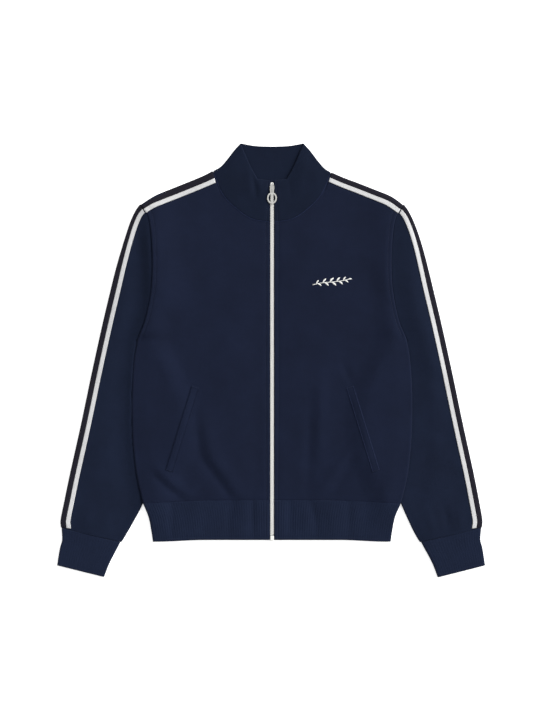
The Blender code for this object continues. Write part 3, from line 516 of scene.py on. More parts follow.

# %% [markdown]
# Fine double knit is merino or cotton, knitted on a fine machine and pressed. Its face is columns of small
# V shapes, 1.3 mm wide and 1.0 mm tall here. Wool fibre has an IOR near 1.55, but the fuzz over it scatters
# most light, so the cloth is rough, with a faint sheen at the edges. A V is two slanted legs: one sine runs
# across each leg, and a second runs along it, slid sideways with the distance from the column's middle.
# Dye takes unevenly, so the colour also drifts a little over a hand's width. The gaps between the loops are
# painted shade: darker, with the loops' tops painted lighter.

# %% Knitted cloth
FUZZ_SCALE = 900.0  # tufts to a metre, so each is about 1.1 mm
DYE_SCALE = 14.0  # patches to a metre, so each is about 70 mm
LEG_SLANT = 1.3  # how many rows a stitch's leg would climb over a whole stitch's width


def knitted(name, hex_colour, wale=1.3, course=1.0, relief=0.16, drift=0.10, rough=0.86, sheen=0.03):
    """Plain knitting. Wale and course are a stitch's width and height in mm, and relief is its depth."""
    material, tree, shader = surface(
        name, Roughness=rough, IOR=1.5, Sheen_Weight=sheen, Sheen_Roughness=0.45, Specular_IOR_Level=0.08,
    )
    grain = node(tree, "ShaderNodeUVMap", uv_map="Grain").outputs["UV"]
    at = node(tree, "ShaderNodeSeparateXYZ", {"Vector": grain}).outputs
    column = node(tree, "ShaderNodeMath", {0: at["X"], 1: 1 / wale}, operation="MULTIPLY").outputs[0]
    within = node(tree, "ShaderNodeMath", {0: column}, operation="FRACT").outputs[0]
    centred = node(tree, "ShaderNodeMath", {0: within, 1: 0.5}, operation="SUBTRACT").outputs[0]
    from_middle = node(tree, "ShaderNodeMath", {0: centred}, operation="ABSOLUTE").outputs[0]
    turn = node(tree, "ShaderNodeMath", {0: from_middle, 1: 2 * math.pi}, operation="MULTIPLY").outputs[0]
    leg = node(tree, "ShaderNodeMath", {0: turn}, operation="SINE").outputs[0]
    row = node(tree, "ShaderNodeMath", {0: at["Y"], 1: 1 / course}, operation="MULTIPLY").outputs[0]
    slid = node(
        tree, "ShaderNodeMath", {0: from_middle, 1: LEG_SLANT, 2: row}, operation="MULTIPLY_ADD",
    ).outputs[0]
    phase = node(tree, "ShaderNodeMath", {0: slid, 1: math.pi}, operation="MULTIPLY").outputs[0]
    stitch = node(tree, "ShaderNodeMath", {0: phase}, operation="SINE").outputs[0]
    round_stitch = node(tree, "ShaderNodeMath", {0: stitch}, operation="ABSOLUTE").outputs[0]
    loops = node(tree, "ShaderNodeMath", {0: leg, 1: round_stitch}, operation="MULTIPLY").outputs[0]
    place = node(tree, "ShaderNodeTexCoord").outputs["Object"]
    fuzz = node(
        tree, "ShaderNodeTexNoise", {"Vector": place, "Scale": FUZZ_SCALE, "Detail": 3.0},
    ).outputs["Fac"]
    height = node(tree, "ShaderNodeMath", {0: fuzz, 1: 0.35, 2: loops}, operation="MULTIPLY_ADD").outputs[0]
    dye = node(
        tree, "ShaderNodeTexNoise", {"Vector": place, "Scale": DYE_SCALE, "Detail": 4.0, "Roughness": 0.65},
    ).outputs["Fac"]
    in_range = node(
        tree, "ShaderNodeMapRange",
        {"Value": dye, "From Min": 0.3, "From Max": 0.7, "To Min": 1 - drift, "To Max": 1 + drift},
    ).outputs["Result"]
    # Painted shade: the colour drops to 0.80 in the gaps between the loops and rises to 1.10 on their tops.
    painted_loop_shade = node(
        tree, "ShaderNodeMapRange",
        {"Value": loops, "From Min": 0.0, "From Max": 1.0, "To Min": 0.80, "To Max": 1.10},
    ).outputs["Result"]
    tone = node(tree, "ShaderNodeMath", {0: in_range, 1: painted_loop_shade}, operation="MULTIPLY").outputs[0]
    finish(tree, shader, hex_colour, tone, height, 0.9, relief)
    print(f"{name}: stitches {wale} by {course} mm")
    return material


BODY_KNIT = knitted("navy_double_knit", "#141b2f")
SLEEVE_KNIT = knitted("navy_double_knit_sleeve", "#141c2f")
COLLAR_KNIT = knitted("navy_collar_knit", "#11192b", wale=1.5, course=1.1)
RIB_KNIT = knitted("navy_rib_knit", "#161e32", wale=1.05, course=1.0, relief=0.12)
BAND_KNIT = knitted("charcoal_band_knit", "#1e1d26", wale=1.1, course=0.9, relief=0.12)
TAPE_KNIT = knitted("white_tape_knit", "#c9c9ca", wale=1.1, course=0.9, relief=0.10, drift=0.03)

# %% [markdown]
# A zip's tape is woven, with fine slanted twill lines. Its chain, stops and box are moulded acetal: a
# waxy, slightly clouded white plastic with an IOR of 1.48 and a soft gloss. Sewing thread is spun
# polyester, a little shinier than the knit. Embroidery thread is rayon, which is shinier still.

# %% Tape, moulded plastic and thread
def ridged(name, hex_colour, pitch, slant, relief, **values):
    """Cloth or thread with straight ridges, this far apart in mm, turned by slant degrees from the grain."""
    material, tree, shader = surface(name, **values)
    grain = node(tree, "ShaderNodeUVMap", uv_map="Grain").outputs["UV"]
    at = node(tree, "ShaderNodeSeparateXYZ", {"Vector": grain}).outputs
    turn, step = math.radians(slant), 2 * math.pi / pitch
    x = node(tree, "ShaderNodeMath", {0: at["X"], 1: step * math.cos(turn)}, operation="MULTIPLY").outputs[0]
    phase = node(
        tree, "ShaderNodeMath", {0: at["Y"], 1: step * math.sin(turn), 2: x}, operation="MULTIPLY_ADD",
    ).outputs[0]
    ridge = node(tree, "ShaderNodeMath", {0: phase}, operation="SINE").outputs[0]
    # Painted shade and light: the colour is darker in the grooves between the ridges and lighter on their
    # crests.
    tone = node(
        tree, "ShaderNodeMapRange",
        {"Value": ridge, "From Min": -1.0, "From Max": 1.0, "To Min": 0.88, "To Max": 1.05},
    ).outputs["Result"]
    finish(tree, shader, hex_colour, tone, ridge, 0.8, relief)
    return material


def speckled(name, hex_colour, size, drift, relief, rough, **values):
    """A moulded, cast or plated finish: its colour and gloss vary a little over spots of this size in mm."""
    material, tree, shader = surface(name, **values)
    place = node(tree, "ShaderNodeTexCoord").outputs["Object"]
    spots = node(
        tree, "ShaderNodeTexNoise", {"Vector": place, "Scale": 1000 / size, "Detail": 4.0},
    ).outputs["Fac"]
    tone = node(
        tree, "ShaderNodeMapRange", {"Value": spots, "To Min": 1 - drift, "To Max": 1 + drift},
    ).outputs["Result"]
    gloss = node(
        tree, "ShaderNodeMapRange", {"Value": spots, "To Min": rough * 0.75, "To Max": rough * 1.25},
    ).outputs["Result"]
    tree.links.new(gloss, shader.inputs["Roughness"])
    finish(tree, shader, hex_colour, tone, spots, 0.4, relief)
    return material


ZIP_TAPE_CLOTH = ridged(
    "navy_woven_zip_tape", "#1b2134", 0.9, 35, 0.08, Roughness=0.8, Specular_IOR_Level=0.1,
)
ZIP_CORE_CLOTH = ridged("white_woven_zip_cord", "#d2d2cf", 0.7, 90, 0.08, Roughness=0.75, IOR=1.5)
THREAD = ridged("navy_sewing_thread", "#1c2338", 0.4, 60, 0.05, Roughness=0.6, Specular_IOR_Level=0.15)
LINKING = ridged("navy_linking_yarn", "#1a2136", 1.1, 55, 0.2, Roughness=0.8, Specular_IOR_Level=0.08)
# Painted shade: a darker copy of the navy thread, for the shaded edge of the right welt and the hem's seam.
SHADE_THREAD = ridged("painted_shade_navy_thread", "#11172a", 0.4, 60, 0.05, Roughness=0.7, Specular_IOR_Level=0.05)
EMBROIDERY = ridged(
    "white_rayon_thread", "#e4e4e0", 0.45, 25, 0.06, Roughness=0.4, IOR=1.52, Sheen_Weight=0.2,
)
ACETAL = speckled("white_acetal", "#dededb", 3.0, 0.02, 0.01, 0.34, IOR=1.48)
NICKEL = speckled("nickel_plated_zinc", "#bdbdba", 1.6, 0.05, 0.01, 0.24, Metallic=1.0)
print("materials:", len(bpy.data.materials))

# %% [markdown]
# Each front is one panel, from the zip to the side seam and from the waistband to the neck and shoulder.
# It could be a flat sheet that a cloth simulation wrinkles, but a simulation won't put a crease where the
# photograph has it. So the panel is a Coons patch, and its height is a sum of rules: what lies under it, its
# own soft loft, the creases of the table, and a turned-in edge all round.

# %% The two fronts
PLACKET = 6.6  # from the front's edge to the stitching beside the zip
ARMHOLE_STITCH = 7.0  # from the armhole seam to its stitching


def groove(distance, at, depth=0.45, width=1.7):
    """How far a row of stitches pulls the cloth down."""
    return depth * np.exp(-(((distance - at) / width) ** 2))


def hem_line(start):
    low = WAISTBAND + SEAM
    return Route([Spot(start, low), Spot(120, low - 1), Spot(232, 68 + SEAM)])


def dress(obj, slot, *nodes):
    """Lets a piece of the garment stand for its solids."""
    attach(obj, "garment")
    if nodes:
        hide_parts(*nodes)
    print(f"{obj.name}: {len(obj.data.polygons)} faces")
    return obj


SEAMS = {}  # rows of points on the finished pieces, in millimetres, which are sewn further on


def back_rise(place):
    """What the creases of the back add to its height."""
    clear = smooth((place[..., 1] - WAISTBAND) / 26)
    return np.maximum(fold_height(place, BACK_FOLDS) * clear, 0.0)


def make_front(name, side):
    stitched = (PLACKET, BODY_HALF - ARMHOLE_STITCH)
    us = shares(BODY_HALF, 3.5, [at + step for at in stitched for step in (-1.5, 0, 1.5)])
    vs = shares(SIDE_EDGE.length, 4.0)
    zip_side = Route([Spot(FRONT_EDGE, WAISTBAND + SEAM), Spot(FRONT_EDGE, FRONT_NECK)])
    plan = patch(hem_line(FRONT_EDGE), SIDE_EDGE, TOP_EDGE, zip_side, us, vs)
    out, up = plan[..., 0], plan[..., 1]
    place = plan * (side, 1)
    u, v = us[None, :], vs[:, None]
    from_zip, from_side = u * BODY_HALF, (1 - u) * BODY_HALF
    from_hem, from_top = v * SIDE_EDGE.length, (1 - v) * SIDE_EDGE.length
    by_neck = smooth((NECK_SHARE + 0.02 - u) / 0.15)
    loft = FRONT_LOFT * smooth(from_side / 30) * np.maximum(smooth(from_top / 26), by_neck)
    puff = FRONT_PUFF * smooth(from_side / 90) * smooth((out - 12) / 60)
    puff *= smooth((up - 90) / 70) * smooth((600 - up) / 90)
    sewn = smooth((v - ARMPIT_SHARE) / 0.03)  # the side is a fold up to the armpit, and then a seam
    clear = smooth((up - WAISTBAND + 8) / 22) * smooth(from_side / 8 + sewn) * smooth(from_zip / 10)
    height = fold_height(place, FRONT_FOLDS) * clear
    height += clear * (swell(place, 0.55, 60, 3) + swell(place, 0.25, 24, 5)) + armhole_ridge(place, 2.1)
    ground = lift(out, up) + 2 * CLOTH
    top = ground + np.maximum(SEAM + loft + puff + height, 0.1 + back_rise(place))
    top -= groove(from_zip, PLACKET) + (v > ARMPIT_SHARE) * groove(from_side, ARMHOLE_STITCH)
    edge = np.maximum(rounded(from_zip, 2.4, 1.2), rounded(from_hem, 2.0, 0.8))
    edge = np.maximum(edge, rounded(from_top, 2.4, 1.2))
    edge = np.maximum(edge, rounded(from_side, 3.2 - 1.2 * sewn, 1.8 - 1.0 * sewn))
    outer = flipped(with_height(plan, top - edge), side)
    inner = flipped(with_height(plan, np.maximum(top - CLOTH, ground - CLOTH + 0.1)), side)
    column = np.argmin(abs(us * BODY_HALF - PLACKET))
    armhole = np.argmin(abs((1 - us) * BODY_HALF - ARMHOLE_STITCH))
    SEAMS[f"placket_stitches_{name}"] = outer[1:-1, column]
    SEAMS[f"armhole_stitches_{name}"] = outer[vs > ARMPIT_SHARE + 0.01, armhole][:-1]
    front = dress(wall(name, outer, inner, BODY_KNIT), "body_knit", name.replace("knit_", ""))
    return front


fronts = {side: make_front(f"knit_front_{word}", side) for word, side in SIDES}

# %% [markdown]
# The back is one panel under both fronts. Nothing of its face shows from above, but the underside of the
# garment is seen when it is turned over, so it has a few soft creases of its own and the same turned edges.

# %% The back
def make_back():
    neck = Route(BACK_NECKLINE)
    top_edge = Route(BACK_NECKLINE, SHOULDER)
    us = shares(BODY_HALF, 7.0)
    vs = shares(SIDE_EDGE.length, 7.0)
    middle = Route([Spot(0, WAISTBAND + SEAM), Spot(0, BACK_NECK)])
    half = patch(hem_line(0), SIDE_EDGE, top_edge, middle, us, vs)
    plan = np.concatenate([half[:, :0:-1] * (-1, 1), half], axis=1)
    from_side = BODY_HALF * (1 - np.abs(np.concatenate([us[:0:-1], us])))[None, :]
    from_hem, from_top = vs[:, None] * SIDE_EDGE.length, (1 - vs[:, None]) * SIDE_EDGE.length
    ground = lift(plan[..., 0], plan[..., 1])
    rise = back_rise(plan) * smooth(from_side / 20) * smooth(from_top / 30)
    edge = np.maximum(rounded(from_hem, 2.4, 1.2), rounded(from_top, 2.4, 1.2))
    edge = np.maximum(edge, rounded(from_side, 3.2, 1.8))
    outer = with_height(plan, ground + rise + edge)
    inner = with_height(plan, ground + rise + CLOTH)
    back = dress(wall("knit_back", outer, inner, BODY_KNIT), "body_knit", "back")
    print("neck width at the back:", round(2 * neck(1)[0]), "mm")


make_back()

# %% [markdown]
# A sleeve is one piece of cloth, folded at its outer edge and sewn shut under the arm. From its head to the
# armpit, its other two edges are sewn to the body. So the shell is built from cross-sections down the
# sleeve: each runs from the inner edge over the front, round the outer fold, and back underneath. Down to
# the armpit it stays open towards the body, and below it the section closes to a ring.

# %% Sections of a sleeve
def crossing(near, far):
    """The width between two places, and a function that gives the places at distances between them."""
    width = np.linalg.norm(far - near)
    toward_far = (far - near) / width

    def at(distance):
        return near + np.asarray(distance)[..., None] * toward_far

    return width, at


def sleeve_sections(spacing=4.2):
    """Each section's inner edge and outer fold, from the head down, and how many are above the armpit."""
    outer_fold, under = Route(SLEEVE_OUTER), Route(SLEEVE_UNDER)
    share = SLEEVE_ACROSS_ARMPIT / outer_fold.length
    found = []
    downs = np.linspace(0.012, 1, round(SLEEVE_ACROSS_ARMPIT / spacing))
    for down in downs:
        v = 1 - down * (1 - ARMPIT_SHARE)
        a, b = SIDE_EDGE(v - 0.004), SIDE_EDGE(v + 0.004)
        along = (b - a) / np.linalg.norm(b - a)
        near = SIDE_EDGE(v) + SEAM * np.array([along[1], -along[0]])
        found.append((near, outer_fold(share * down)))
    belows = shares((1 - share) * outer_fold.length, spacing)
    for below in belows:
        found.append((under(below), outer_fold(share + (1 - share) * below)))
    return np.array(found), len(downs)


SLEEVE_ROUND = SLEEVE_TOP / 2
TURN = np.radians(np.linspace(90, -90, 9))  # round a fold, from its top to its underside
FRONT_SPAN = np.concatenate([[0, 0.006, 0.016], np.linspace(0.035, 0.965, 38), [0.984, 0.994, 1]])
BACK_SPAN = np.linspace(1, 0, 15)


def sleeve_rise(place, span, width):
    """The height of a sleeve's front over its flat state, with none where the body lies on it."""
    out, up = np.abs(place[:, 0]), place[:, 1]
    outside = out - body_edge(up)
    clear, free = smooth((outside - 22) / 30), smooth((outside + 1.0) / 1.6)
    by_far = smooth((1 - span) * width / 12)
    by_near = np.maximum(smooth(span * width / 12), smooth((up - 70) / 30))
    creased = fold_height(place, SLEEVE_FOLDS) * free * by_far * by_near
    uneven = swell(place, 0.5, 50, 9) + swell(place, 0.25, 22, 11)
    uneven *= clear * by_far * smooth(span * width / 12)
    puff = SLEEVE_PUFF * clear * np.sin(math.pi * span) ** 0.75
    return np.maximum(puff + creased + uneven, -0.4) + armhole_ridge(place) * by_far


print("sections of a sleeve:", len(sleeve_sections()[0]))

# %% Sleeves
def make_sleeve(name, side):
    sections, armpit = sleeve_sections()
    outer, inner, plans = [], [], []
    for j, (near, far) in enumerate(sections):
        width, at = crossing(near, far)
        reach, skin = min(SLEEVE_ROUND, 0.2 * width), min(CLOTH, 0.3 * width)
        slack = max(reach - skin, 0.08 * reach)
        front = at(reach + FRONT_SPAN * (width - 2 * reach))
        under = at(reach + BACK_SPAN * (width - 2 * reach))
        rise = sleeve_rise(front * (side, 1), FRONT_SPAN, width)
        fold_out = with_height(at(width - reach + reach * np.cos(TURN)), SLEEVE_ROUND * (1 + np.sin(TURN)))
        small = (SLEEVE_TOP - 2 * CLOTH) / 2
        fold_in = with_height(at(width - reach + slack * np.cos(TURN)), SLEEVE_ROUND + small * np.sin(TURN))
        if j < armpit:
            step = reach * (1 - np.cos(TURN[:4]))[::-1]
            edge_rise = sleeve_rise(at(step) * (side, 1), step / width, width)
            edge = with_height(at(step), SLEEVE_TOP + edge_rise - rounded(step, reach, 0.6))
            edge_in = with_height(at(step), SLEEVE_TOP - CLOTH)
            low = with_height(at(step[::-1]), rounded(step[::-1], reach, 1.2))
            low_in = with_height(at(step[::-1]), CLOTH)
        else:
            ring = np.radians([170, 150, 130, 110])
            edge = with_height(at(reach + reach * np.cos(ring)), SLEEVE_ROUND * (1 + np.sin(ring)))
            edge_in = with_height(at(reach + slack * np.cos(ring)), SLEEVE_ROUND + small * np.sin(ring))
            low = edge[::-1] * (1, 1, -1) + (0, 0, SLEEVE_TOP)
            low_in = edge_in[::-1] * (1, 1, -1) + (0, 0, SLEEVE_TOP)
        outer.append(np.vstack([
            edge, with_height(front, SLEEVE_TOP + rise), fold_out[1:-1],
            with_height(under, 0.0), low,
        ]))
        inner.append(np.vstack([
            edge_in, with_height(front, SLEEVE_TOP - CLOTH + rise), fold_in[1:-1],
            with_height(under, CLOTH), low_in,
        ]))
        plans.append(at(np.linspace(0, width, 10)))
    outer, inner = flipped(outer, side), flipped(inner, side)
    sleeve = wall(name, outer, inner, SLEEVE_KNIT, 13.6 * side, armpit)
    dress(sleeve, "body_knit", name.replace("knit_", ""))
    cut = 2 * plan_area(np.array(plans))
    return sleeve


sleeves = {side: make_sleeve(f"knit_sleeve_{word}", side) for word, side in SIDES}

# %% [markdown]
# Cuffs and waistband are knitted in a 2 by 2 rib: two columns of stitches stand out, and two lie back. That
# relief is far coarser than a stitch, so it is real geometry here, with five columns of points to a rib.

# %% Ribs
RIB_PITCH = 4.2
RIB_PROFILE = np.array([0.0, 0.72, 1.0, 1.0, 0.72])
RIB_RISE, CUFF_RISE = 0.36, 0.26
RIB_MARGIN = 3.4  # from an edge or a fold to the first rib
RIB_TOP = 2 * RIB_CLOTH + LAY
RIB_ROUND = RIB_TOP / 2


def ribbed(width, rise):
    """Where to place points across the ribs of a strip of this width, as shares, and the height there."""
    count = max(1, round((width - 2 * RIB_MARGIN) / RIB_PITCH))
    steps = np.arange(count * len(RIB_PROFILE) + 1) / (count * len(RIB_PROFILE))
    return steps, rise * np.append(np.tile(RIB_PROFILE, count), 0.0)


print("ribs across 100 mm:", (len(ribbed(100, RIB_RISE)[0]) - 1) // len(RIB_PROFILE))

# %% Cuffs
def make_cuff(name, side):
    outer_side, inner_side = Route(CUFF_OUTER), Route(CUFF_INNER)
    steps, rises = ribbed(np.linalg.norm(outer_side(0.5) - inner_side(0.5)), CUFF_RISE)
    outer, inner, plans = [], [], []
    for v in shares(outer_side.length, 4.0):
        width, at = crossing(inner_side(v), outer_side(v))
        from_end = min(v, 1 - v) * outer_side.length
        down = rounded(from_end, 1.8, 1.1)
        front = at(RIB_MARGIN + steps * (width - 2 * RIB_MARGIN))
        under = front[::-1]
        uneven = swell(front * (side, 1), 0.35, 26, 15) + 0.5 * np.sin(math.pi * steps)
        fold_high = RIB_ROUND * (1 - 0.4 * rounded(from_end, 1.8, 1.0))
        height_out, height_in = RIB_ROUND + fold_high * np.sin(TURN), RIB_ROUND + SEAM * np.sin(TURN)
        turn_out, turn_in = RIB_ROUND * (1 - np.cos(TURN)), RIB_ROUND - SEAM * np.cos(TURN)
        fold_out = with_height(at(width - turn_out), height_out)
        fold_in = with_height(at(width - turn_in), height_in)
        other = with_height(at(turn_out), height_out)[::-1]
        other_in = with_height(at(turn_in), height_in)[::-1]
        outer.append(np.vstack([
            other[1:], with_height(front, RIB_TOP + rises + uneven - down), fold_out,
            with_height(under, down + CUFF_RISE - rises[::-1]), other[:1],
        ]))
        inner.append(np.vstack([
            other_in[1:], with_height(front, RIB_TOP - RIB_CLOTH + uneven), fold_in,
            with_height(under, RIB_CLOTH), other_in[:1],
        ]))
        plans.append(at(np.linspace(0, width, 10)))
    cuff = wall(name, flipped(outer, side), flipped(inner, side), RIB_KNIT, 14.0 * side, 0)
    dress(cuff, "rib_knit", name.replace("knit_", ""))
    cut = 2 * plan_area(np.array(plans))


for word, side in SIDES:
    make_cuff(f"knit_cuff_{word}", side)

# %% [markdown]
# The waistband is one ribbed strip that runs from the zip round the back to the zip again. It pulls the body
# in a little, so it lies in soft upright puckers, and those of its front are in the table above.

# %% Waistband
def waist_height(place, out, fold_out):
    """The underside of the waistband's front."""
    room = (FRONT_LOFT - RIB_CLOTH + CLOTH) * smooth((fold_out - out) / 40)
    puckers = fold_height(place, WAIST_FOLDS) * smooth((fold_out - out) / 20) * smooth((out - 3) / 9)
    uneven = swell(place, 0.35, 30, 19) * smooth((fold_out - out) / 20) * smooth((out - 3) / 9)
    return lift(out, place[:, 1]) + RIB_CLOTH + SEAM + np.maximum(room + puckers + uneven, 0.0)


def hem_sag(out, share):
    """The hem is a shallow arch: its middle lies a little higher than its two ends."""
    return (2.0 - 3.2 * smooth((np.abs(out) - 120) / 90)) * (1 - share)


def make_waistband():
    side_edge = Route(WAISTBAND_SIDE)
    steps, rises = ribbed(side_edge(0)[0] - FRONT_EDGE, RIB_RISE)
    outer, inner = [], []
    for share in shares(side_edge.length, 3.6):
        up = WAISTBAND * share
        fold = side_edge(share)
        level = Route([Spot(0, up), Spot(fold[0] * 0.5, up - share), Spot(*fold)])
        down = np.maximum(rounded(up, 2.2, 1.3), rounded(WAISTBAND - up, 2.0, 0.8))
        ground = lift(*fold)
        high = RIB_CLOTH + SEAM / 2
        halves = []
        for side in (1, -1):
            edge = FRONT_EDGE + np.array([0.0, 0.4, 1.2, 2.2])
            ribs_wide = level.length - FRONT_EDGE - 2 * RIB_MARGIN
            span = np.append(edge, FRONT_EDGE + RIB_MARGIN + steps * ribs_wide)
            rise = np.append(np.zeros(len(edge)), rises)
            front = level(span / level.length)
            front[:, 1] += hem_sag(front[:, 0], share)
            z = waist_height(front * (side, 1), front[:, 0], fold[0])
            stitched = groove(span - FRONT_EDGE, PLACKET, 0.4, 1.2)
            top = z + RIB_CLOTH + rise - stitched - np.maximum(down, rounded(span - FRONT_EDGE, 2.2, 1.2))
            fold_up = np.full(len(TURN), fold[1] + hem_sag(fold[0], share))
            turned = [fold[0] - high + reach * np.cos(TURN) for reach in (high, SEAM)]
            round_out = np.stack([turned[0], fold_up, ground + high + high * np.sin(TURN)], -1)
            round_in = np.stack([turned[1], fold_up, ground + high + SEAM * np.sin(TURN)], -1)
            under = level((RIB_MARGIN + steps[::-1] * (level.length - 2 * RIB_MARGIN)) / level.length)
            under[:, 1] += hem_sag(under[:, 0], share)
            low = lift(under[:, 0], under[:, 1])
            half_out = np.vstack([
                with_height(front, top), round_out, with_height(under, low + down + RIB_RISE - rises[::-1]),
            ])
            half_in = np.vstack([with_height(front, z), round_in, with_height(under, low + RIB_CLOTH)])
            halves.append((flipped(half_out, side), flipped(half_in, side)))
        (left_out, left_in), (right_out, right_in) = halves
        outer.append(np.vstack([left_out, right_out[::-1]]))
        inner.append(np.vstack([left_in, right_in[::-1]]))
    rows = np.array(outer)
    sewn = int(np.argmin(abs(rows[5, :40, 0] - FRONT_EDGE - PLACKET)))
    SEAMS["placket_stitches_waist_left"] = rows[1:-1, sewn]
    SEAMS["placket_stitches_waist_right"] = rows[1:-1, -1 - sewn]
    waistband = wall("knit_waistband", outer, inner, RIB_KNIT)
    dress(waistband, "rib_knit", "waistband")
    return waistband


waistband = make_waistband()

# %% [markdown]
# The stand collar is one strip of folded cloth round the neck. Lying flat, it folds at both sides: its two
# fronts lie on top, beside the zip, and between them one looks down on the inside of its back. Each front is
# again a patch, and its top edge drops from the fold down to the zip, which makes the V.

# %% Collar
COLLAR_FOLDS = [
    Fold([Spot(-34, 656), Spot(-31, 640), Spot(-28, 620)], 4, -1.2),
    Fold([Spot(-25, 658), Spot(-22, 640), Spot(-19, 618)], 7, 1.1),
    Fold([Spot(-44, 668), Spot(-40, 646), Spot(-39, 622)], 7, 0.75),
    Fold([Spot(60, 690), Spot(52, 660), Spot(50, 630)], 9, 0.75),
    Fold([Spot(30, 652), Spot(33, 634), Spot(34, 612)], 5, -0.62),
]
COLLAR_TOP = 2 * RIB_CLOTH + SEAM
COLLAR_ROUND = COLLAR_TOP / 2


def seam_room(route, us):
    """At each share of a seam, the step that keeps the collar clear of the panel's edge."""
    return np.array([route.inset(u * route.length, -SEAM) - route(u) for u in us])


def collar_half(side):
    """Outer and inner rows of points, from the zip round the side's fold to the middle of the back."""
    seam, top = Route(NECKLINE), Route(COLLAR_FLAT_TOP, COLLAR_V)
    back_seam, back_top = Route(BACK_NECKLINE), Route(COLLAR_BACK_EDGE)
    zip_edge = Route([Spot(FRONT_EDGE, FRONT_NECK), Spot(FRONT_EDGE, COLLAR_ZIP_TOP)])
    middle = Route([Spot(0, BACK_NECK), Spot(0, COLLAR_BACK_TOP)])
    fold_line = Route(COLLAR_SIDE)
    flat = Route(COLLAR_FLAT_TOP).length / top.length
    us = shares(seam.length, 3.5, [PLACKET - 1.2, PLACKET, PLACKET + 1.2])
    vs, back_us = shares(fold_line.length, 3.5), shares(back_seam.length, 4.0)

    def top_by_seam(u):
        """The top edge, with its corner over the same share of the seam on each row."""
        return top(np.interp(u, (0, 2 / 7, 1), (0, flat, 1)))

    front = patch(seam, fold_line, top_by_seam, zip_edge, us, vs)
    back = patch(back_seam, fold_line, back_top, middle, back_us, vs)
    room, back_room = seam_room(seam, us), seam_room(back_seam, back_us)
    outer, inner = [], []
    for j, v in enumerate(vs):
        near_seam = (1 - v) ** 4
        line, back_line = front[j] + near_seam * room, back[j] + near_seam * back_room
        fold = front[j, -1] + 0.7 * near_seam * (room[-1] + back_room[-1])
        from_end = min(v, 1 - v) * fold_line.length
        down = rounded(from_end, 2.2, 1.2)
        keep = (1 - us) * seam.length > 1.7 * COLLAR_ROUND
        line, from_zip, from_fold = line[keep], (us * seam.length)[keep], ((1 - us) * seam.length)[keep]
        place = line * (side, 1)
        puff = 0.7 * math.sin(math.pi * v) * smooth(from_fold / 25) * smooth(from_zip / 14)
        uneven = (fold_height(place, COLLAR_FOLDS) + swell(place, 0.35, 24, 23)) * smooth(from_end / 8)
        z = RIB_CLOTH + SEAM + (ZIP_TAPE + SEAM) * smooth(from_fold / 40)
        z = z + puff + np.maximum(uneven * smooth(from_fold / 12) * smooth(from_zip / 9), -0.8)
        edge = np.maximum(down, rounded(from_zip, 2.4, 1.2))
        topmost = z + RIB_CLOTH - groove(from_zip, PLACKET, 0.4) - edge
        inward = (front[j, -2] - front[j, -1]) / np.linalg.norm(front[j, -2] - front[j, -1])
        backward = (back[j, -2] - back[j, -1]) / np.linalg.norm(back[j, -2] - back[j, -1])
        high = COLLAR_ROUND * (1 - 0.25 * rounded(from_end, 2.2, 1.0))
        way = np.where(TURN[:, None] >= 0, inward, backward)
        step_out, step_in = COLLAR_ROUND * (1 - np.cos(TURN)), COLLAR_ROUND - SEAM * np.cos(TURN)
        round_out = with_height(fold + step_out[:, None] * way, COLLAR_ROUND + high * np.sin(TURN))
        round_in = with_height(fold + step_in[:, None] * way, COLLAR_ROUND + SEAM / 2 * np.sin(TURN))
        far = back_line[::-1][(1 - back_us[::-1]) * back_seam.length > 1.7 * COLLAR_ROUND]
        outer.append(np.vstack([with_height(line, topmost), round_out, with_height(far, down)]))
        inner.append(np.vstack([with_height(line, z), round_in, with_height(far, RIB_CLOTH - 0.6 * down)]))
    return flipped(outer, side), flipped(inner, side), plan_area(front) + plan_area(back)


def make_collar():
    left_out, left_in, cut = collar_half(1)
    right_out, right_in, _ = collar_half(-1)
    outer = np.concatenate([left_out, right_out[:, -2::-1]], axis=1)
    inner = np.concatenate([left_in, right_in[:, -2::-1]], axis=1)
    sewn = int(np.argmin(abs(np.linalg.norm(outer[5, :20, :2] - outer[5, 0, :2], axis=1) - PLACKET)))
    SEAMS["placket_stitches_collar_left"] = outer[1:-1, sewn]
    SEAMS["placket_stitches_collar_right"] = outer[1:-1, -1 - sewn]
    collar = wall("knit_collar", outer, inner, COLLAR_KNIT)
    dress(collar, "collar_knit", "collar")
    return collar


collar = make_collar()

# %% [markdown]
# What lies on a panel has to follow its creases. A ray that drops on the panel's mesh reads its height at
# any place, and the strip is laid on those heights. This is how a shrinkwrap works, without its surprises at
# the edges.

# %% Reading a piece's height
def reader(obj):
    """Gives a function that reads the height of a piece's upper face, in mm, at places (out, up)."""
    corners = [v.co for v in obj.data.vertices]
    tree = BVHTree.FromPolygons(corners, [face.vertices for face in obj.data.polygons])

    def read(places):
        found = []
        for out, up in as_laid(np.reshape(places, (-1, 2))):
            hit = tree.ray_cast(Vector((out * MM, (up + HEM_Y) * MM, 0.1)), Vector((0, 0, -1)))[0]
            found.append(hit.z / MM if hit else math.nan)
        found, order = np.array(found), np.arange(len(found))
        known = ~np.isnan(found)  # beyond the piece's edge, the nearest height along the row is taken
        return np.interp(order, order[known], found[known]).reshape(np.shape(places)[:-1])

    return read


on_front = {side: reader(obj) for side, obj in fronts.items()}
on_sleeve = {side: reader(obj) for side, obj in sleeves.items()}
chest_height = float(on_front[1](np.array([[110.0, 460.0]]))[0])
print("the left front's height at the chest:", round(chest_height, 2), "mm")

# %% [markdown]
# Two stripes run from the collar to the cuff: a near-black band along the very edge, which wraps it, and a
# white knitted tape beside it. Both are sewn on, so each is its own thin strip. The band goes round the fold
# and ends low on its far side, clear of the table, and the tape lies flat. Their ends are cut on a slant, to
# meet the seams. Near the shoulder point both draw in towards the edge, more so on the wearer's right.

# %% How a stripe lies
STRIPE_CLOTH = 0.8
Column = namedtuple("Column", "distance turn tuck")
Laid = namedtuple("Laid", "kind route columns starts slants under fold drawn")
Drawn = namedtuple("Drawn", "step still fade by_start")  # how a stripe draws in towards the shoulder point


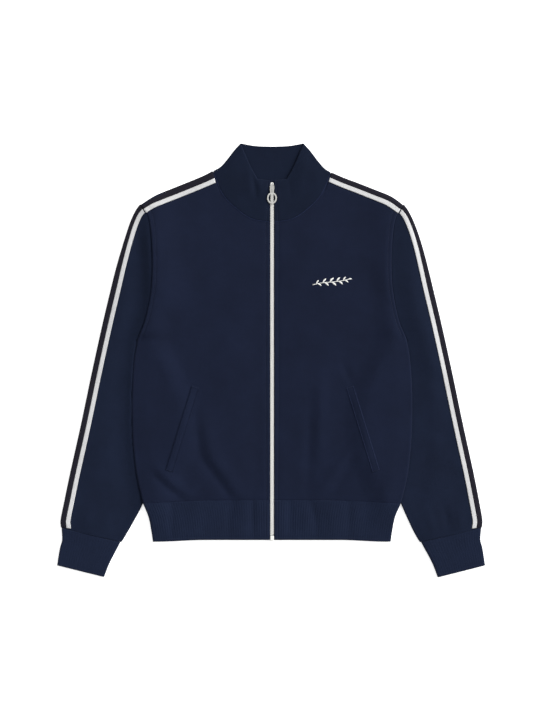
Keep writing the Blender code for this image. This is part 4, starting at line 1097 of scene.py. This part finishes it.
def lay_stripe(name, laid, side, material):
    """A strip along a route. Each column lies at a distance in from it, or at a turn round its fold."""
    route, fold = laid.route, laid.fold
    steps = np.linspace(0, 1, int(route.length / 3.4) + 1)
    steps = np.unique(np.concatenate([steps, [0.5 / route.length, 1 - 0.5 / route.length]]))
    ends = np.where((steps == 0) | (steps == 1), 0.4, 0.0)
    sheets = []
    for skin in (0.12 + STRIPE_CLOTH, 0.12):
        columns = []
        for column in laid.columns:
            first = laid.starts[0] + laid.slants[0] * column.distance
            last = route.length - laid.starts[1] + laid.slants[1] * column.distance
            turn = math.radians(column.turn)
            fars = first + steps * (last - first)
            from_point = fars if laid.drawn.by_start else route.length - fars
            drawn = laid.drawn.step * (1 - smooth((from_point - laid.drawn.still) / laid.drawn.fade))
            drawn = drawn * min(column.distance / 9, 1)
            if laid.drawn.by_start:
                drawn = drawn * (0.4 + 0.6 * smooth(fars / 25))
            away = fold - (fold + skin) * math.sin(turn) + 0 * fars if turn else column.distance - drawn
            plan = np.array([route.inset(far, step) for far, step in zip(fars, away)]) * (side, 1)
            level = fold + (fold + skin) * math.cos(turn) if turn else laid.under[side](plan) + skin
            tucked = ends + column.tuck if skin > 0.5 else 0.0
            columns.append(with_height(plan, np.maximum(level - tucked, 0.05)))
        sheets.append(np.swapaxes(columns, 0, 1))
    return wall(name, *sheets, material), sheets[0]


def flat_columns(near, far, count=6):
    """Columns of a flat strip, with its two long edges rounded."""
    inside = [Column(d, 0, 0) for d in np.linspace(near + 0.7, far - 0.7, count)]
    near_edge = [Column(near, 0, 0.45), Column(near + 0.25, 0, 0.14)]
    return near_edge + inside + [Column(far - 0.25, 0, 0.14), Column(far, 0, 0.45)]


def wrapped_columns(fold, far, count=5):
    """Columns from under the fold, round it and in to the strip's inner edge."""
    round_fold = [Column(fold, turn, 0) for turn in np.linspace(132, 6, 11)]
    return round_fold + flat_columns(fold + 0.3, far, count)[2:]


print("columns of points across a band:", len(wrapped_columns(SLEEVE_ROUND, 9.2)))

# %% Stripes
SHOULDER_BAND = {"left": 9.2, "right": 11.5}  # its width over the front, which is more on the right
SLEEVE_BAND = 9.2
SHOULDER_TAPE, SLEEVE_TAPE = 8.0, 7.6
BESIDE = 0.1  # between a band and its tape
SHOULDER_DRAWN = {"left": Drawn(0.7, 4, 34, False), "right": Drawn(2.7, 4, 34, False)}
SLEEVE_DRAWN = Drawn(2.8, 40, 130, True)


def make_stripes(word, side):
    half = (2 * CLOTH + SEAM) / 2  # of the shoulder's two layers
    far, by = SHOULDER_BAND[word], SHOULDER_BAND[word] + BESIDE
    along_top = {
        "route": Route(SHOULDER), "starts": (1.2, -1.3), "slants": (0.117, 0.0), "under": on_front,
        "fold": half, "drawn": SHOULDER_DRAWN[word],
    }
    along_arm = {
        "route": Route(SLEEVE_OUTER), "starts": (0.1, 0.8), "slants": (0.5, 0.25), "under": on_sleeve,
        "fold": SLEEVE_ROUND, "drawn": SLEEVE_DRAWN,
    }
    arm_tape = flat_columns(SLEEVE_BAND + BESIDE, SLEEVE_BAND + BESIDE + SLEEVE_TAPE)
    laid = (
        Laid(kind="shoulder_band", columns=wrapped_columns(half, far), **along_top),
        Laid(kind="shoulder_tape", columns=flat_columns(by, by + SHOULDER_TAPE), **along_top),
        Laid(kind="sleeve_band", columns=wrapped_columns(SLEEVE_ROUND, SLEEVE_BAND, 3), **along_arm),
        Laid(kind="sleeve_tape", columns=arm_tape, **along_arm),
    )
    for stripe in laid:
        white = stripe.kind.endswith("tape")
        slot, knit = ("white_tape", TAPE_KNIT) if white else ("charcoal_band", BAND_KNIT)
        strip, rows = lay_stripe(f"knit_{stripe.kind}_{word}", stripe, side, knit)
        dress(strip, slot, f"{stripe.kind}_{word}")
        width = float(np.linalg.norm(np.diff(rows[len(rows) // 2], axis=0), axis=1).sum()) * MM
        length = stripe.route.length * MM
        flat = (max(width, 0.01), length)
        min(width, flat[0]) * length
        if white:
            SEAMS[f"white_stitches_{stripe.kind}_out_{word}"] = rows[1:-1, 2]
            SEAMS[f"white_stitches_{stripe.kind}_in_{word}"] = rows[1:-1, -3]


for word, side in SIDES:
    make_stripes(word, side)

# %% [markdown]
# Each pocket opening has a welt: a narrow folded strip of the body's own knit, set on a slant. It is sewn
# down along both long edges, and a bar tack, a dense little row of stitches, holds each end. The left welt
# is pressed flatter than the right one, and its edge casts less shade.

# %% Pocket welts
WELT_LOW, WELT_HIGH = np.array((187.6, 126.5)), np.array((140.7, 278.0))
WELT_WIDTH = 14.2
WELT_SHIFT = {"left": 0.8, "right": 2.7}  # towards the zip
WELT_CLOTH = {"left": 0.55, "right": 0.9}
WELT_ROWS = {"left": (3, -4), "right": (2, -5)}  # the columns of its two rows of stitches, zip side first


def make_welt(word, side):
    length = np.linalg.norm(WELT_HIGH - WELT_LOW)
    along = (WELT_HIGH - WELT_LOW) / length
    across = np.array([along[1], -along[0]])
    fars = shares(length, 3.5)[:, None] * length
    inner_ways = np.linspace(3.2, WELT_WIDTH - 3.2, 7)
    ways = np.concatenate([EDGE_STEPS[:5], inner_ways, WELT_WIDTH - EDGE_STEPS[4::-1]])
    low = WELT_LOW - (WELT_SHIFT[word], 0)
    plan = low + fars[..., None] * along + (ways[None, :, None] - WELT_WIDTH / 2) * across
    from_side = np.minimum(ways, WELT_WIDTH - ways)[None]
    cloth = WELT_CLOTH[word]
    from_end = np.minimum(fars, length - fars)
    edge = np.maximum(rounded(from_side, 2.2, cloth - 0.1), rounded(from_end, 1.6, cloth - 0.2))
    puffed = 0.2 * np.sin(math.pi * ways / WELT_WIDTH)[None] * np.sin(math.pi * fars / length) ** 0.5
    height = on_front[side](plan * (side, 1)) + 0.1
    top = height + cloth - edge - groove(from_side, 2.6, 0.3, 0.8) + puffed
    outer = flipped(with_height(plan, top), side)
    inner = flipped(with_height(plan, height), side)
    welt = wall(f"knit_welt_{word}", outer, inner, BODY_KNIT, -17.2 * side)
    dress(welt, "body_knit", f"pocket_welt_{word}")
    for edge_name, column in zip(("inner", "outer"), WELT_ROWS[word]):
        SEAMS[f"welt_stitches_{edge_name}_{word}"] = outer[1:-1, column]
    for end_name, row in (("low", 3), ("high", -4)):
        SEAMS[f"tack_{end_name}_{word}"] = outer[row, 1:-1]


for word, side in SIDES:
    make_welt(word, side)

# %% [markdown]
# The zip is a moulded one: acetal teeth are cast straight on to a thick white cord at the tape's edge. The
# closed chain is two rows of teeth, half a pitch apart, whose heads lie in each other's gaps. One tooth is
# drawn, bevelled and then repeated by numpy, which keeps it one light mesh.

# %% Zip teeth
TOOTH_PITCH = 3.0
TOOTH = [(-3.2, 0.95), (-0.9, 0.95), (-0.3, 0.47), (0.1, 0.7), (0.7, 0.7), (1.0, 0.35)]  # half its outline
TOOTH_LOW, TOOTH_HIGH, TOOTH_BEVEL = 3.2, 5.6, 0.32
SHARP = math.radians(40)  # an edge that turns by more than this isn't shaded smooth
CHAIN_UP = (10.6, 640.0)


def moulded(outline, low, high, offset):
    """The points and faces of an upright solid with this outline and a bevelled top, in millimetres."""
    bm = bmesh.new()
    face = bm.faces.new([bm.verts.new((x, y, low)) for x, y in outline])
    raised = bmesh.ops.extrude_face_region(bm, geom=[face])["geom"]
    risen = [v for v in raised if isinstance(v, bmesh.types.BMVert)]
    bmesh.ops.translate(bm, verts=risen, vec=(0, 0, high - low))
    rims = [edge for edge in bm.edges if all(v.co.z > high - 0.01 for v in edge.verts)]
    bmesh.ops.bevel(bm, geom=rims, offset=offset, segments=2, affect="EDGES", clamp_overlap=True)
    bmesh.ops.triangulate(bm, faces=bm.faces[:])
    bm.verts.index_update()
    points = np.array([v.co[:] for v in bm.verts])
    faces = np.array([[v.index for v in f.verts] for f in bm.faces])
    bm.free()
    return points, faces


def make_teeth():
    outline = TOOTH + [(x, -y) for x, y in TOOTH[::-1]]
    points, faces = moulded(outline, TOOTH_LOW, TOOTH_HIGH, TOOTH_BEVEL)
    ups = np.arange(CHAIN_UP[0] + 1.2, CHAIN_UP[1] - 1.0, TOOTH_PITCH / 2)
    rows = [points + (0, up, 0) for up in ups[::2]]
    rows += [points * (-1, -1, 1) + (0, up, 0) for up in ups[1::2]]
    all_faces = np.concatenate([faces + i * len(points) for i in range(len(rows))])
    teeth = mesh_piece("zip_teeth_row", np.concatenate(rows), all_faces, ACETAL)
    teeth.data.set_sharp_from_angle(angle=SHARP)
    dress(teeth, "zip_teeth", "zip_chain")
    print("teeth:", len(rows))


make_teeth()

# %% [markdown]
# Each top stop is a small moulded lug that closes its row of teeth. The two narrow upwards together. They
# are made like the teeth, from an outline with a bevelled top.

# %% Top stops
STOP = [(0.3, 0.0), (3.1, 0.0), (2.8, 2.2), (1.9, 4.1), (1.4, 4.5), (0.3, 4.5)]
STOP_LOW, STOP_HIGH, STOP_BEVEL = 2.9, 6.0, 0.5
for word, side in SIDES:
    outline = [(x * side, y + ZIP_TOP) for x, y in STOP]
    points, faces = moulded(outline, STOP_LOW, STOP_HIGH, STOP_BEVEL)
    stop = mesh_piece(f"moulded_stop_{word}", points, faces, ACETAL)
    stop.data.set_sharp_from_angle(angle=SHARP)
    dress(stop, "zip_teeth", f"zip_stop_{word}")

# %% [markdown]
# Under the teeth runs the white cord that they are cast on. On each side of it lies a woven tape, by which
# the zip is sewn in under the front's edge. All three are long flat strips, so one helper makes them.

# %% Zip cord and tapes
CORD_OUT, CORD_Z = (-3.1, 3.1), (2.95, 3.4)
TAPE_OUT, TAPE_UP = (3.7, 14.8), (3.2, 642.8)
TAPE_Z = (ZIP_TAPE_Z, ZIP_TAPE_Z + 0.6)


def zip_strip(name, outs, zs, ups, material):
    """A flat woven strip along the zip, between two distances out, two heights and two places up."""
    across = np.linspace(*outs, 6)
    along = np.append(np.arange(ups[0], ups[1] - 6, 12.0), ups[1])
    plan = np.stack(np.meshgrid(across, along), -1)
    down = np.where((across == outs[0]) | (across == outs[1]), 0.15, 0.0)
    return wall(name, with_height(plan, zs[1] - down), with_height(plan, zs[0]), material)


dress(zip_strip("zip_cord", CORD_OUT, CORD_Z, CHAIN_UP, ZIP_CORE_CLOTH), "zip_tape")
for word, side in SIDES:
    outs = sorted(side * out for out in TAPE_OUT)
    tape = zip_strip(f"woven_zip_tape_{word}", outs, TAPE_Z, TAPE_UP, ZIP_TAPE_CLOTH)
    dress(tape, "zip_tape", f"zip_tape_{word}")

# %% [markdown]
# The box, the slider and its pull have the right solid shapes already. They keep them, and only get their
# real finish: moulded acetal, and zinc with a bright nickel plate.

# %% Finishes of the zip's solid parts
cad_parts["zip_box"].material_slots[0].material = ACETAL
for name in ("zip_slider", "zip_pull"):
    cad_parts[name].material_slots[0].material = NICKEL
print("finished as they are: zip_box, zip_slider, zip_pull")

# %% [markdown]
# Stitches are what one sees first from close by. Each is a short spindle of thread that rises a little out
# of the cloth and dips back into it. All the stitches of a row are one mesh, made from points along the row.

# %% Sewing
def along_line(points, fars):
    """Places at these distances along a row of points, and the row's whole length."""
    lengths = np.concatenate([[0], np.cumsum(np.linalg.norm(np.diff(points, axis=0), axis=1))])
    return np.stack([np.interp(fars, lengths, points[:, k]) for k in range(3)], -1), lengths[-1]


def round_faces(index):
    """The faces of tubes, from the numbers of their points: last but one along, last around."""
    a, b = index[..., :-1, :], index[..., 1:, :]
    return np.stack([a, np.roll(a, -1, -1), np.roll(b, -1, -1), b], -1).reshape(-1, 4)


def sew(name, points, material, length=2.7, gap=0.8, radius=0.28, sides=6):
    """A row of stitches along a line of points."""
    total = along_line(points, np.zeros(1))[1]
    starts = np.arange(gap, total - length, length + gap)
    part = np.array([0.0, 0.2, 0.5, 0.8, 1.0])
    thick = np.array([0.35, 0.85, 1.0, 0.85, 0.35]) * radius
    raised = np.array([-0.35, 0.35, 0.6, 0.35, -0.35]) * radius
    centres = along_line(points, (starts[:, None] + part * length).ravel())[0].reshape(-1, 5, 3)
    ahead = centres[:, -1] - centres[:, 0]
    ahead /= np.linalg.norm(ahead, axis=1, keepdims=True)
    sideways = np.cross(ahead, (0, 0, 1))
    turns = np.arange(sides)[:, None] * 2 * math.pi / sides
    ring = np.cos(turns) * sideways[:, None] + np.sin(turns) * np.array([0, 0, 1])
    found = centres[:, :, None] + thick[None, :, None, None] * ring[:, None]
    found[..., 2] += raised[None, :, None]
    index = np.arange(len(starts) * 5 * sides).reshape(-1, 5, sides)
    return mesh_piece(name, found.reshape(-1, 3), round_faces(index), material)


def join_pieces(name, pieces):
    """Joins pieces that share a finish to one."""
    with bpy.context.temp_override(active_object=pieces[0], selected_editable_objects=pieces):
        bpy.ops.object.join()
    pieces[0].name = name
    return pieces[0]


print("rows to sew:", len(SEAMS))

# %% [markdown]
# The rows were noted while the pieces were made, so each lies exactly on its cloth. White thread holds the
# tapes, and navy thread the rest. Round the left welt the navy is painted lighter, as a painted highlight,
# and round the right one darker, as painted shade, so their navies differ. Real thread is 0.3 mm thick. It
# is drawn up to three times as thick here, so that it shows from three metres away.

# %% Rows of stitches
WHITE_THREAD = ridged("white_sewing_thread", "#c9c9c5", 0.4, 60, 0.05, Roughness=0.55, IOR=1.54)
white_rows = [
    sew(name, row, WHITE_THREAD, length=2.4, gap=0.7, radius=0.16, sides=4)
    for name, row in SEAMS.items() if "white" in name
]
tacks = [
    sew(name, row, THREAD, length=1.1, gap=0.12, radius=0.3)
    for name, row in SEAMS.items() if "tack_" in name
]
# Painted highlight: a lighter copy of the navy thread, for the lit edges of the left welt.
HIGHLIGHT_THREAD = ridged("painted_highlight_navy_thread", "#2b3553", 0.4, 60, 0.05, Roughness=0.7, Specular_IOR_Level=0.1)
WELT_THREADS = {"left": (HIGHLIGHT_THREAD, 0.34), "right": (SHADE_THREAD, 0.46)}
welts = []
for name, row in SEAMS.items():
    if "welt_" in name:
        thread, radius = WELT_THREADS[name.split("_")[-1]]
        welts.append(sew(name, row, thread, length=2.2, gap=0.3, radius=radius))
navy = [name for name in SEAMS if name.startswith(("placket", "armhole"))]
navy_rows = [sew(name, SEAMS[name], THREAD) for name in navy]
dress(join_pieces("sewn_white_stitches", white_rows), "white_tape")
dress(join_pieces("sewn_bar_tacks", tacks), "body_knit")
dress(join_pieces("sewn_welt_stitches", welts), "body_knit")
dress(join_pieces("sewn_navy_stitches", navy_rows), "body_knit")

# %% [markdown]
# The collar, the waistband and the sleeves are linked on: a machine joins them to the body loop by loop, and
# leaves a thin line of yarn, a shade lighter than the knit. It is a fine tube along the seam. At the
# waistband the tube is painted darker instead, as painted shade in the seam's groove. Under each armpit,
# where four layers meet, the cloth beyond the seam is rolled in: three thicker tubes side by side fill the
# slit there, which one could otherwise look through from the side.

# %% Linked seams
ALLOWANCE = ((0.0, 2.3), (2.2, 2.45), (4.6, 2.45))  # how far in from the seam a roll lies, and its radius


def tube(name, points, radius, material, sides=8):
    """A round yarn along a row of points."""
    points = np.asarray(points, float)
    ahead = np.gradient(points, axis=0)
    ahead /= np.linalg.norm(ahead, axis=1, keepdims=True)
    sideways = np.cross(ahead, (0, 0, 1))
    sideways /= np.linalg.norm(sideways, axis=1, keepdims=True)
    upward = np.cross(sideways, ahead)
    turns = np.arange(sides)[:, None] * 2 * math.pi / sides
    found = points[:, None] + radius * (np.cos(turns) * sideways[:, None] + np.sin(turns) * upward[:, None])
    index = np.arange(len(points) * sides).reshape(-1, sides)
    return mesh_piece(name, found.reshape(-1, 3), round_faces(index), material)


def seam_yarn(name, row, one, other, sink=0.4, yarn=LINKING):
    """Yarn in the groove between two pieces: one and other are the heights on its two sides."""
    return tube(name, with_height(row, np.minimum(one, other) - sink), 0.7, yarn)


NECK_YARN = ridged("navy_neck_yarn", "#1e2640", 1.1, 55, 0.2, Roughness=0.8, Specular_IOR_Level=0.08)


def link_seams():
    on_collar, on_waistband = reader(collar), reader(waistband)
    neck, hem = Route(NECKLINE), hem_line(FRONT_EDGE)
    linked = []
    for side in (1, -1):
        fars = np.arange(1.5, neck.length - 3, 2.0)
        row, inward, outward = [
            np.array([neck.inset(far, at) for far in fars]) * (side, 1) for at in (0, -2.2, 2.2)
        ]
        near, far = on_collar(inward), on_front[side](outward)
        linked.append(seam_yarn(f"linking_neck_{side}", row, near, far, 0.2, NECK_YARN))
        row = hem(np.linspace(0.008, 0.985, 120)) * (side, 1)
        high, low = on_front[side](row + (0, 2)), on_waistband(row - (0, 2.2))
        # Painted shade: at the hem the yarn is the darker thread, for the shade in the seam's groove.
        linked.append(seam_yarn(f"linking_hem_{side}", row, high, low, 0.5, SHADE_THREAD))
        row = np.array([SIDE_EDGE(v) for v in np.linspace(ARMPIT_SHARE + 0.002, 0.985, 72)]) * (side, 1)
        near, far = on_front[side](row - (2 * side, 0)), on_sleeve[side](row + (2 * side, 0))
        linked.append(seam_yarn(f"linking_armhole_{side}", row, near, far, 0.55))
        inside = np.array([SIDE_EDGE(v) for v in np.linspace(ARMPIT_SHARE - 0.02, ARMPIT_SHARE + 0.06, 19)])
        for i, (step, radius) in enumerate(ALLOWANCE):
            roll = with_height((inside - (step, 0)) * (side, 1), radius + 0.1)
            linked.append(tube(f"seam_allowance_{side}_{i}", roll, radius, LINKING))
    dress(join_pieces("linked_seams", linked), "body_knit")


link_seams()

# %% [markdown]
# The chest carries a small leaf sprig, embroidered in satin stitch: each leaf is a low dome of thread, laid
# slantwise.

# %% Chest sprig
Leaf = namedtuple("Leaf", "share way length")
LEAVES = [
    Leaf(0.10, 1, 8.5), Leaf(0.14, -1, 8.0), Leaf(0.28, 1, 10.0), Leaf(0.33, -1, 9.5), Leaf(0.47, 1, 11.0),
    Leaf(0.52, -1, 10.5), Leaf(0.66, 1, 10.0), Leaf(0.71, -1, 9.5), Leaf(0.84, 1, 8.5), Leaf(0.88, -1, 8.0),
]
STEM = Route([Spot(73, 461), Spot(90, 464.5), Spot(108, 466), Spot(124, 468), Spot(138, 471)])


def satin_leaf(name, root, angle, length):
    """A leaf of this length, as a dome that is pointed at both ends."""
    along, across = np.linspace(0, 1, 11)[:, None], np.linspace(-1, 1, 7)[None]
    x = length * along + 0 * across
    y = 0.17 * length * np.sin(math.pi * along) ** 0.7 * across + 0.08 * length * np.sin(math.pi * along)
    turned = [x * math.cos(angle) - y * math.sin(angle), x * math.sin(angle) + y * math.cos(angle)]
    plan = np.stack(turned, -1) + root
    domed = 0.9 * (1 - across**2) * np.sin(math.pi * along) ** 0.5
    points = with_height(plan, on_front[1](plan) - 0.1 + domed)
    index = np.arange(points[..., 0].size).reshape(points.shape[:2])
    faces = np.stack([index[:-1, :-1], index[:-1, 1:], index[1:, 1:], index[1:, :-1]], -1)
    return mesh_piece(name, points.reshape(-1, 3), faces.reshape(-1, 4), EMBROIDERY, math.degrees(angle))


def make_sprig():
    stem = STEM(np.linspace(0, 1, 60))
    sprig = [tube("sprig_stem", with_height(stem, on_front[1](stem) + 0.2), 0.6, EMBROIDERY)]
    for row in LEAVES:
        ahead = STEM(row.share + 0.02) - STEM(row.share - 0.02)
        heading = math.atan2(ahead[1], ahead[0]) + 0.75 * row.way
        sprig.append(satin_leaf(f"leaf_{row.share}", STEM(row.share), heading, row.length))
    sprig.append(satin_leaf("leaf_tip", STEM(0.97), 0.15, 8.0))
    dress(join_pieces("sprig_embroidery", sprig), "white_tape")


make_sprig()

# %% [markdown]
# The floor is a plain white light table, which glows a little, so that no shadow shows round the garment. A
# large soft light far off, low at the upper right, draws the creases. It is a sun lamp, as wide as a studio
# softbox looks, because its light doesn't fade with distance: both sleeves are as bright. A wide lamp from
# the left fills the shadows, a small one overhead shows in the zip's metal, and the pale world does the
# rest.

# %% Floor and lights
FLOOR = surface(
    "white_light_table", Base_Color=linear("#fdfdfd"), Roughness=0.95, Emission_Color=linear("#ffffff"),
    Emission_Strength=0.6,
)[0]
bpy.ops.mesh.primitive_plane_add(size=60, location=(0, 0, -0.0004))
floor = bpy.context.object
floor.name = "studio_floor"
floor.data.materials.append(FLOOR)
floor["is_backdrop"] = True


def hang(light, place):
    """Hangs a lamp at this place, so that it faces the garment."""
    lamp = bpy.data.objects.new(light.name, light)
    lamp.location = place
    lamp.rotation_euler = (-Vector(place)).to_track_quat("-Z", "Y").to_euler()
    bpy.context.scene.collection.objects.link(lamp)


def soft_light(name, size, power, place):
    """A round lamp, this many metres across and this many watts strong."""
    light = bpy.data.lights.new(name, "AREA")
    light.shape = "DISK"
    light.size = size
    light.energy = power
    hang(light, place)


key = bpy.data.lights.new("key", "SUN")
key.energy = 5.7
key.angle = math.radians(50)
hang(key, (4.6, 3.0, 2.9))
soft_light("fill", 4.0, 60, (-4.0, -1.5, 4.0))
soft_light("overhead", 1.6, 8, (0.2, 0.3, 5.2))
scene = bpy.context.scene
scene.world = bpy.data.worlds.new("studio")
scene.world.use_nodes = True
background = scene.world.node_tree.nodes["Background"]
background.inputs["Color"].default_value = linear("#ffffff")
background.inputs["Strength"].default_value = 0.32
scene.view_settings.view_transform = "Standard"
print("lights:", len(bpy.data.lights))

# %% [markdown]
# The camera hangs straight above, as it did for the photograph, 3.1 metres up. From that far, it hardly sees
# the sides of the sleeves, as in the photograph.

# %% Camera
camera = bpy.data.cameras.new("camera")
camera.lens = 85
camera.sensor_width = 36
camera.clip_end = 50
eye = bpy.data.objects.new("camera", camera)
eye.location = (-0.00365, 0.0016, 3.063)
scene.collection.objects.link(eye)
scene.camera = eye
print("camera height:", round(eye.location.z, 2), "m")

# %% [markdown]
# Last, the dressed model's box is printed.

# %% Finish
cloth_box = [list(corner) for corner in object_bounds()]
print("box:", [[round(value, 4) for value in corner] for corner in cloth_box])
